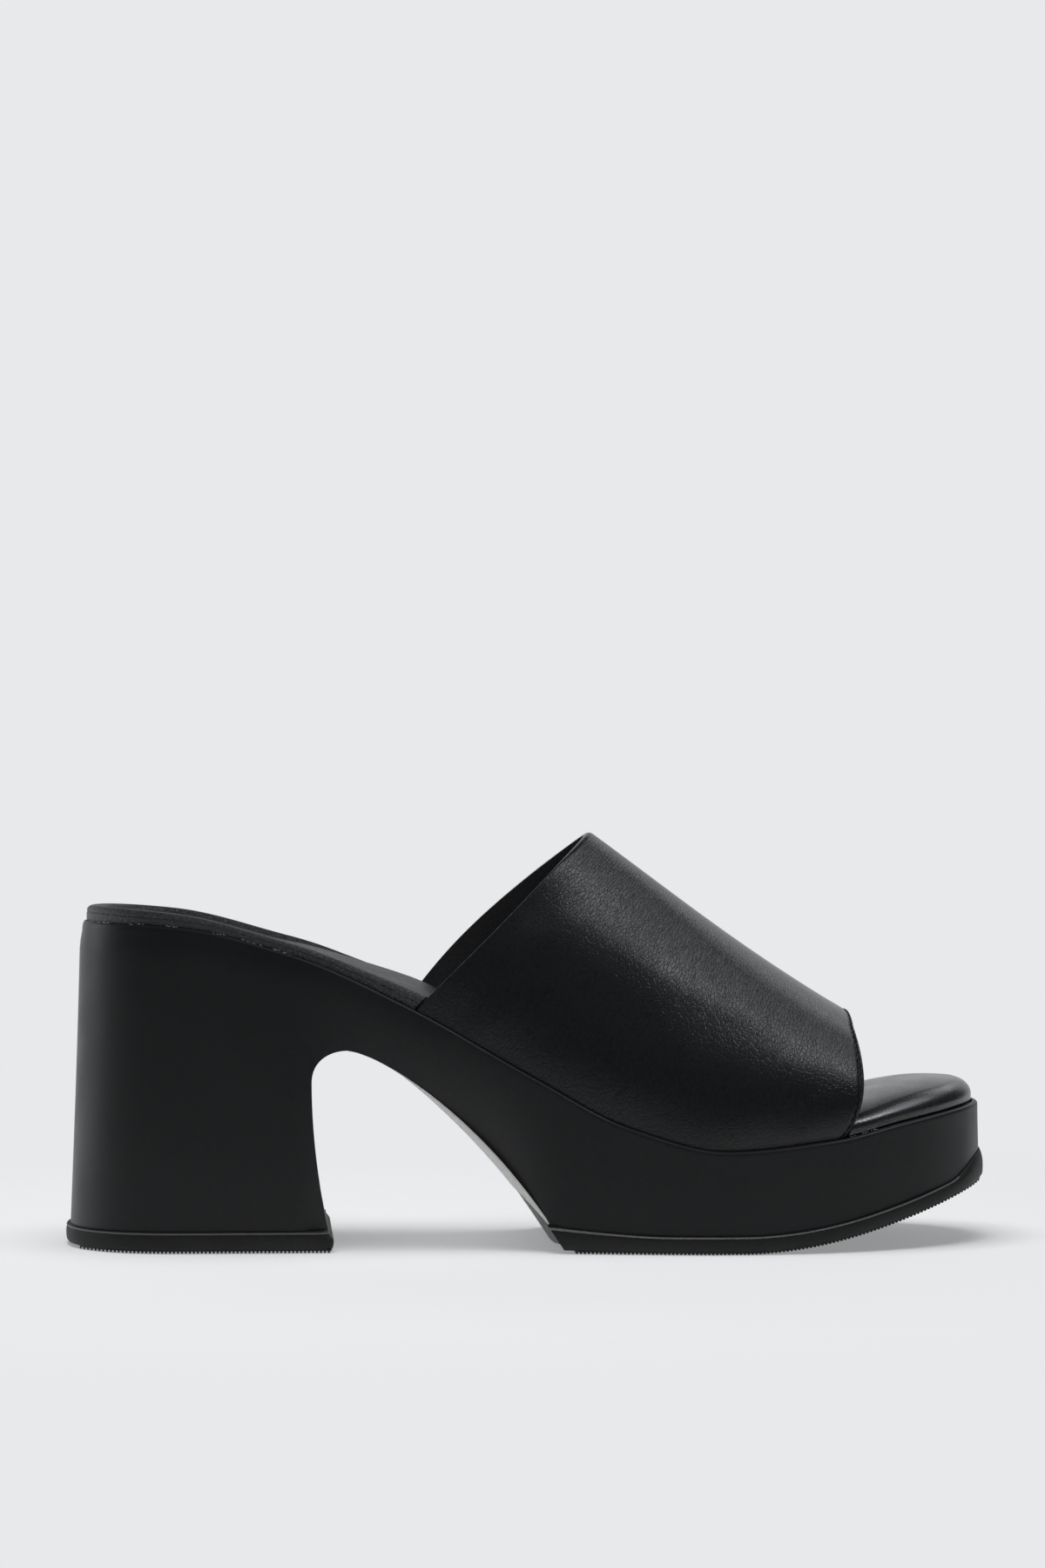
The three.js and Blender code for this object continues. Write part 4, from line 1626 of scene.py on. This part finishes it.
@dataclass
class Glue:
    """Dried glue that shows in the groove between the lip and the footbed."""

    last: Last
    runs: tuple[tuple[float, float], ...] = (
        (3.4, 9.2), (14.2, 18.4), (24.0, 27.0), (36.4, 39.6), (44.4, 48.8), (52.4, 56.8), (206.3, 208.0),
        (209.2, 214.0),
    )
    pitch: float = 0.85
    sway: float = 0.25
    inset: float = 0.1
    lift: tuple[float, float] = (-0.1, 0.25)
    long: tuple[float, float] = (0.4, 1.0)
    thick: float = 0.3
    high: tuple[float, float] = (0.15, 0.35)
    seed: int = 7

    def build(self, wardrobe: Wardrobe) -> None:
        """Builds and dresses the specks.

        Args:
            wardrobe: the materials.
        """
        Bench.clear()
        bpy.ops.mesh.primitive_ico_sphere_add(subdivisions=1, radius=0.0005)
        model = Bench.named("speck")
        chance = np.random.default_rng(self.seed)
        specks = []
        for start, end in self.runs:
            for x in np.arange(start, end, self.pitch):
                x = float(x + chance.uniform(-self.sway, self.sway))
                y = float(self.last.edge_y(x, Side.OUTER)) + self.last.lip_width + self.inset
                z = float(self.last.edge_height(x)) + chance.uniform(*self.lift)
                size = Matrix.Diagonal((chance.uniform(*self.long), self.thick, chance.uniform(*self.high), 1))
                tilt = Matrix.Rotation(self._slope(x), 4, "Y")
                shift = Matrix.Translation(Vector(metres(np.array((x, y, z)))))
                specks.append(Bench.copied(model, shift @ tilt @ size))
        bpy.data.objects.remove(model)
        glue = Bench.join(specks, "glue_specks")
        glue.data.materials.append(wardrobe.glue)
        Bench.shade(glue, 60)
        settle(glue)

    def _slope(self, x: float) -> float:
        """The lip's slope at a place, as an angle."""
        rise = float(self.last.edge_height(x + 1) - self.last.edge_height(x - 1))
        return -math.atan2(rise, 2)


@dataclass
class Outsole:
    """The rubber under the forefoot with its tongue, and the heel's top piece, each with a rib along its top;
    the forefoot's rib is knurled.
    """

    last: Last
    arch: Arch
    bead: float = 1.2
    breast_bead: float = 0.8
    tongue: float = 2.3
    tongue_reach: float = 4.2
    tongue_bow: float = 3.4
    tongue_sink: float = 4.9
    side_inset: float = 1
    gap: float = 0.3
    tip_rise: float = 3.6
    tip_run: tuple[float, float] = (222, 242)
    rise_run: tuple[float, float] = (235, 246.5)
    rib_highlight_end: float = 238.0
    rib_pitch: float = 1.05
    rib_depth: float = 0.55
    rib_rows: tuple[int, int] = (12, 15)
    corner: float = 1.6
    breast_inset: float = 0.9
    breast_slant: float = 1.05
    heel_middle: tuple[float, float] = (36.0, 1.5)
    tread_stand: float = 0.75
    tread_inset: float = 0.15
    tread_top: float = 1.1

    def _row(self, stand: float, up: float) -> np.ndarray:
        """One ring of the plate.

        Args:
            stand: how far past the wall it stands.
            up: its share of the plate's height.

        Returns:
            The ring.
        """
        last = self.last
        tip = stand
        if up > 0.6 and stand > 0:
            tip = self.bead * (1 - ((up - 0.6) / 0.45) ** 2)
        ring = last.ring(lambda x: last.flare(x, 0) + mix(stand, tip, smooth(x, *self.tip_run)))
        x = np.clip(ring[:, 0], 0, last.length)
        lifted = self.tip_rise * smooth(x, *self.rise_run) * float(np.clip((up - 0.4) / 0.6, 0, 1))
        ring[:, 2] = mix(last.floor_height(x), last.plate_height(x), up) + lifted
        return ring

    def build(self, wardrobe: Wardrobe) -> None:
        """Builds and dresses both plates, their ribs, treads and the tongue.

        Args:
            wardrobe: the materials.
        """
        last = self.last
        sides = (
            (-1.6, 0.13), (-0.84, 0.13), (-0.3, 0.13), (0.3, 0.14), (0.7, 0.17), (1.0, 0.26), (1.15, 0.4),
            (1.2, 0.56), (1.2, 0.68), (1.15, 0.78), (1.02, 0.86), (0.97, 0.895), (1.08, 0.92), (1.1, 0.955),
            (0.98, 0.985), (0.7, 1.0), (0.4, 1.01), (0.1, 1.03), (-0.6, 1.035),
        )
        rows = [self._row(stand, up) for stand, up in sides]
        ends = [last.spine(ring, *SOLE_SPINE) for ring in (rows[0], rows[-1])]
        plate = Bench.loft("outsole_forefoot", [ends[0], *rows, ends[1]])
        self._finish(plate, wardrobe.rubber, wardrobe.rib)
        block = np.array(((-20, -9), (110, -9), (110, 30), (-20, 30)), float)
        Bench.cut(plate, Bench.cutter(block, last.ball_width * 2))
        Bench.cut(plate, Bench.cutter(self.arch.profile(self.breast_bead), last.ball_width * 2))
        rows = [self._heel_row(stand, up) for stand, up in sides]
        heel = Bench.loft("heel_top_piece_rubber", [self._middle(rows[0]), *rows, self._middle(rows[-1])])
        # The heel's ledge takes the tongue's lighter grey as a dimmer painted highlight line.
        self._finish(heel, wardrobe.rubber, wardrobe.tongue)
        for part, node in ((heel, "heel_top_piece"), (plate, "outsole")):
            Bench.shade(part, 40)
            settle(part, [node])
        self._tongue(wardrobe)
        self._tread("heel_tread", 0.6, last.breast_reach - 0.2, wardrobe)
        self._tread("forefoot_tread", 132.4, last.length - 0.2, wardrobe)

    def _heel_row(self, stand: float, up: float) -> np.ndarray:
        """One ring of the heel's piece, which runs across the breast between two rounded corners.

        Args:
            stand: how far past the wall it stands.
            up: its share of the piece's height.

        Returns:
            The ring.
        """
        last, corner = self.last, self.corner
        base = last.ring(lambda x: last.flare(x, 0))
        breast = last.breast_reach - self.breast_inset - self.breast_slant * float(smooth(up, 0.55, 0.9))
        half = last.steps + 1
        outer = base[:half][base[:half, 0] < breast - corner - 0.4]
        inner = base[half:][base[half:, 0] < breast - corner - 0.4]
        low, high = outer[-1, 1], inner[0, 1]
        t = np.radians(np.linspace(0, 90, 7))[:, None]
        bend = np.concatenate((np.sin(t) - 1, 1 - np.cos(t), 0 * t), 1) * corner
        near = np.array((breast, low, 0)) + bend
        far = (np.array((breast, high, 0)) + bend * (1, -1, 1))[::-1]
        y = np.linspace(near[-1, 1], far[0, 1], 22)[1:-1]
        across = np.stack((0 * y + breast, y, 0 * y), 1)
        ring = np.concatenate((outer, near, across, far, inner))
        ring = ring + ways_out(ring) * stand
        ring[:, 2] = self.last.top_piece * up
        return ring

    def _middle(self, ring: np.ndarray) -> np.ndarray:
        """The point that a ring of the heel's piece closes on, once for each place."""
        return np.tile((*self.heel_middle, ring[0, 2]), (len(ring), 1))

    def _finish(self, plate: bpy.types.Object, body: bpy.types.Material, rib: bpy.types.Material) -> None:
        """Dresses a lofted plate; the narrow ledge at its top takes a paler finish that paints a highlight
        line there, stopping short of the toe's tip.

        Args:
            plate: the plate.
            body: its finish.
            rib: the ledge's finish, a painted highlight.
        """
        for material in (body, rib):
            plate.data.materials.append(material)
        rows = plate.data.attributes["row"].data
        end = metres(np.array((self.rib_highlight_end, 0.0, 0.0)))[0]
        first, last = self.rib_rows
        # Ledge faces short of the toe's tip take the painted highlight.
        for face in plate.data.polygons:
            ledge = all(first <= rows[k].value <= last for k in face.vertices)
            face.material_index = int(ledge and face.center.x < end)

    def tongue_start(self, w: np.ndarray) -> np.ndarray:
        """Where the tongue begins along the slope, a round end that runs out at both sides."""
        reach = (self.tongue_reach + self.tongue_bow) * (1 - np.abs(w) ** 2.6)
        return 1 - (reach + 0.2) / self.arch.slope_length

    def _tongue(self, wardrobe: Wardrobe) -> None:
        """Builds the tongue under the arch, up to the panel.

        Args:
            wardrobe: the materials.
        """
        w = np.linspace(-1, 1, 41)[None, :]
        length = self.arch.slope_length
        start = self.tongue_start(w)
        t = np.linspace(0, 1, 15)[:, None]
        u = mix(start, 1 + self.tongue_sink / length, t)
        across = w + 0 * u
        depth = mix(0.5, self.tongue, 1 - np.abs(across) ** 3) - 0.3 * (1 - t) ** 6
        over = self.arch.under(u, across, depth, self.side_inset)
        under = self.arch.under(u, across, np.full(u.shape, self.gap), self.side_inset)
        tongue = Bench.slab("outsole_tongue", over, under)
        tongue.data.materials.append(wardrobe.tongue)
        Bench.bevel(tongue, 0.00025, 3)
        Bench.shade(tongue, 45)
        settle(tongue)

    def _tread(self, name: str, start: float, end: float, wardrobe: Wardrobe) -> None:
        """A fine cross-ribbed tread under a plate.

        Args:
            name: the piece's name.
            start: where it begins along the shoe.
            end: where it ends.
            wardrobe: the materials.
        """
        last = self.last
        ring = last.ring(lambda x: last.flare(x, 0) + self.tread_stand)
        half = last.steps + 1
        outer, inner = ring[:half], np.concatenate((ring[half - 1 :], ring[:1]))[::-1]
        count = int((end - start) / self.rib_pitch)
        marks = np.array((0, 0.36, 0.5, 0.86))
        x = start + (np.arange(count)[:, None] + marks).ravel() / count * (end - start)
        deep = np.tile(np.array((0, 0, 1, 1)) * self.rib_depth, count)
        left = np.interp(x, outer[:, 0], outer[:, 1]) + self.tread_inset
        right = np.interp(x, inner[:, 0], inner[:, 1]) - self.tread_inset
        w = (1 - np.cos(np.linspace(0, np.pi, 15))) / 2
        y = mix(left[:, None], right[:, None], w[None, :])
        edge = 0.12 * (1 - np.clip(np.minimum(w, 1 - w) / 0.012, 0, 1)) ** 2
        low = last.floor_height(x)[:, None] + deep[:, None] + edge[None, :]
        high = last.floor_height(x)[:, None] + self.tread_top + 0 * y
        wide = x[:, None] + 0 * y
        tread = Bench.slab(name, np.stack((wide, y, low), -1), np.stack((wide, y, high), -1))
        tread.data.materials.append(wardrobe.rubber)
        Bench.shade(tread, 20)
        settle(tread)


@dataclass
class ArchPanel:
    """The pale crowned panel under the arch; its place is bare."""

    arch: Arch
    outsole: Outsole
    edge: float = 0.4
    crown_front: float = 1.9
    start: float = 1.4
    play: float = 0.6

    def build(self, wardrobe: Wardrobe) -> None:
        """Builds and dresses the panel.

        Args:
            wardrobe: the materials.
        """
        sole, length = self.outsole, self.arch.slope_length
        w = np.linspace(-1, 1, 33)[None, :]
        t = np.linspace(0, 1, 61)[:, None]
        u = mix(self.start / length, sole.tongue_start(w) - self.play / length, t)
        across = w + 0 * u
        crown = self.crown_front * smooth(t, 0.1, 0.9) * (1 - w * w)
        depth = 0.12 + self.edge * smooth(t, 0.2, 0.7) + crown
        over = self.arch.under(u, across, depth, sole.side_inset)
        under = self.arch.under(u, across, np.full(u.shape, 0.04), sole.side_inset)
        panel = Bench.slab("arch_panel_crowned", over, under)
        panel.data.materials.append(wardrobe.panel)
        Bench.bevel(panel, 0.00015, 2)
        Bench.shade(panel, 45)
        settle(panel, ["arch_panel"])


@dataclass
class Studio:
    """The pale floor and backdrop, the soft lights and the camera at the photograph's angle."""

    pale: Colour = (0.806, 0.815, 0.831)
    paper: Colour = (0.78, 0.79, 0.805)
    own_light: float = 0.34
    front_share: float = 0.42
    ambient: float = 0.07
    floor_size: float = 6
    wall_height: float = 2.2
    lens: float = 101.8
    camera_place: tuple[float, float, float] = (-0.0755, -1.2096, 0.1245)
    camera_turn: float = -3.5

    def build(self) -> None:
        """Sets up the stage, the lights, the world and the camera."""
        self._cove()
        self._lights()
        self._world()
        self._camera()
        bpy.context.scene.view_settings.view_transform = "Standard"

    def _cove(self) -> None:
        """A floor that runs up into a backdrop without a corner."""
        Bench.clear()
        bpy.ops.mesh.primitive_plane_add(size=self.floor_size, location=(0, 0, 0))
        cove = Bench.named("studio_cove")
        bpy.ops.object.mode_set(mode="EDIT")
        work = bmesh.from_edit_mesh(cove.data)
        for edge in work.edges:
            edge.select_set(all(v.co.y > self.floor_size * 0.4 for v in edge.verts))
        work.select_flush(False)
        bmesh.update_edit_mesh(cove.data)
        bpy.ops.mesh.extrude_region_move(TRANSFORM_OT_translate={"value": (0, 0, self.wall_height)})
        Bench.leave()
        Bench.bevel(cove, 1.2, 16)
        Bench.shade(cove, 60)
        cove.data.materials.append(self._paper())

    def _paper(self) -> bpy.types.Material:
        """The cove's finish: paper that takes shadows near the shoe and glows evenly further out.

        Returns:
            The material.
        """
        material, nodes, shader = fresh_material("studio_paper")
        place = nodes.add("TexCoord").outputs["Object"]
        stretch = nodes.add("Mapping", {"Vector": place, "Scale": (2.0, 3.0, 1.0)}).outputs[0]
        away = nodes.add("VectorMath", {0: stretch}, operation="LENGTH").outputs["Value"]
        near = nodes.ramp(away, 0.45, 1.0, 1.0, 0.0)
        split = nodes.add("SeparateXYZ", {"Vector": place})
        behind = nodes.ramp(split.outputs["Y"], -0.3, -0.05, self.front_share, 1.0)
        seen = nodes.add("LightPath").outputs["Is Camera Ray"]
        strength = nodes.math("MAXIMUM", behind, seen)
        glow = nodes.add("Emission", {"Color": (*self.pale, 1), "Strength": strength})
        lit = nodes.add("BsdfDiffuse", {"Color": (*self.paper, 1)})
        weak = nodes.math("MULTIPLY", strength, self.own_light)
        faint = nodes.add("Emission", {"Color": (*self.pale, 1), "Strength": weak})
        both = nodes.add("AddShader", {0: lit.outputs[0], 1: faint.outputs[0]})
        mixed = nodes.add("MixShader", {0: near, 1: glow.outputs[0], 2: both.outputs[0]})
        nodes.tree.nodes.remove(shader)
        nodes.feed(nodes.tree.nodes["Material Output"], {"Surface": mixed.outputs[0]})
        return material

    @staticmethod
    def _area(name: str, place: tuple, target: tuple, size: tuple, power: float, gloss: bool = True) -> None:
        """Adds one soft light.

        Args:
            name: its name.
            place: where it stands.
            target: what it faces.
            size: its two sides, across and up.
            power: its power in watts.
            gloss: whether it only gives highlights, and lights no matte surface.
        """
        data = bpy.data.lights.new(name, "AREA")
        data.shape, data.energy = "RECTANGLE", power
        data.size, data.size_y = size
        light = bpy.data.objects.new(name, data)
        bpy.context.scene.collection.objects.link(light)
        light.location = place
        light.rotation_euler = (Vector(target) - Vector(place)).to_track_quat("-Z", "Y").to_euler()
        light.visible_diffuse, light.visible_glossy = not gloss, gloss
        if gloss:
            data.color = (0.92, 0.95, 1.0)

    def _lights(self) -> None:
        """Six soft lights: five give only highlights, and the one overhead lights only matte surfaces."""
        aim, above, ground = (0.03, 0, 0.06), (-0.12, -0.1, 1.25), (0, 0, 0.03)
        self._area("band", (0.72, 0.02, 1.06), aim, (0.66, 0.4), 1.55)
        self._area("band_edge", (0.65, -0.33, 1.05), aim, (0.16, 0.34), 1.75)
        self._area("overhead", above, ground, (0.95, 0.95), 11.2, gloss=False)
        self._area("top_sheen", above, ground, (1.0, 0.7), 3.4)
        self._area("back_left", (-1.1, 0.45, 0.35), aim, (0.4, 0.5), 1.9)
        self._area("rim", (0.74, 0.84, 0.94), aim, (0.5, 0.4), 1.0)

    def _world(self) -> None:
        """A surround that is pale to look at and dim as light, so that the near side stays dark."""
        world = bpy.data.worlds.new("surround")
        bpy.context.scene.world = world
        world.use_nodes = True
        nodes = Nodes(world.node_tree)
        dim = world.node_tree.nodes["Background"]
        nodes.feed(dim, {"Color": (0.95, 0.97, 1, 1), "Strength": self.ambient})
        seen = nodes.add("Background", {"Color": (*self.pale, 1), "Strength": 1.0})
        camera = nodes.add("LightPath").outputs["Is Camera Ray"]
        mixed = nodes.add("MixShader", {0: camera, 1: dim.outputs[0], 2: seen.outputs[0]})
        nodes.feed(nodes.tree.nodes["World Output"], {"Surface": mixed.outputs[0]})

    def _camera(self) -> None:
        """The photograph's camera: level, low and far, a little from the back."""
        data = bpy.data.cameras.new("photo_camera")
        data.lens, data.sensor_width = self.lens, 36
        camera = bpy.data.objects.new("photo_camera", data)
        bpy.context.scene.collection.objects.link(camera)
        camera.location = self.camera_place
        camera.rotation_euler = (math.pi / 2, 0, math.radians(self.camera_turn))
        bpy.context.scene.camera = camera


def main() -> None:
    """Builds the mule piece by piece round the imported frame."""
    logging.basicConfig(level=logging.INFO, format="%(name)s %(message)s")
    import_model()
    wardrobe, last = Wardrobe(), Last()
    arch, strap = Arch(last), Strap(last)
    outsole = Outsole(last, arch)
    SoleUnit(last, arch, strap).build(wardrobe)
    Footbed(last, strap).build(wardrobe)
    Glue(last).build(wardrobe)
    strap.build(wardrobe)
    outsole.build(wardrobe)
    ArchPanel(arch, outsole).build(wardrobe)
    Studio().build()


if __name__ == "__main__":
    main()
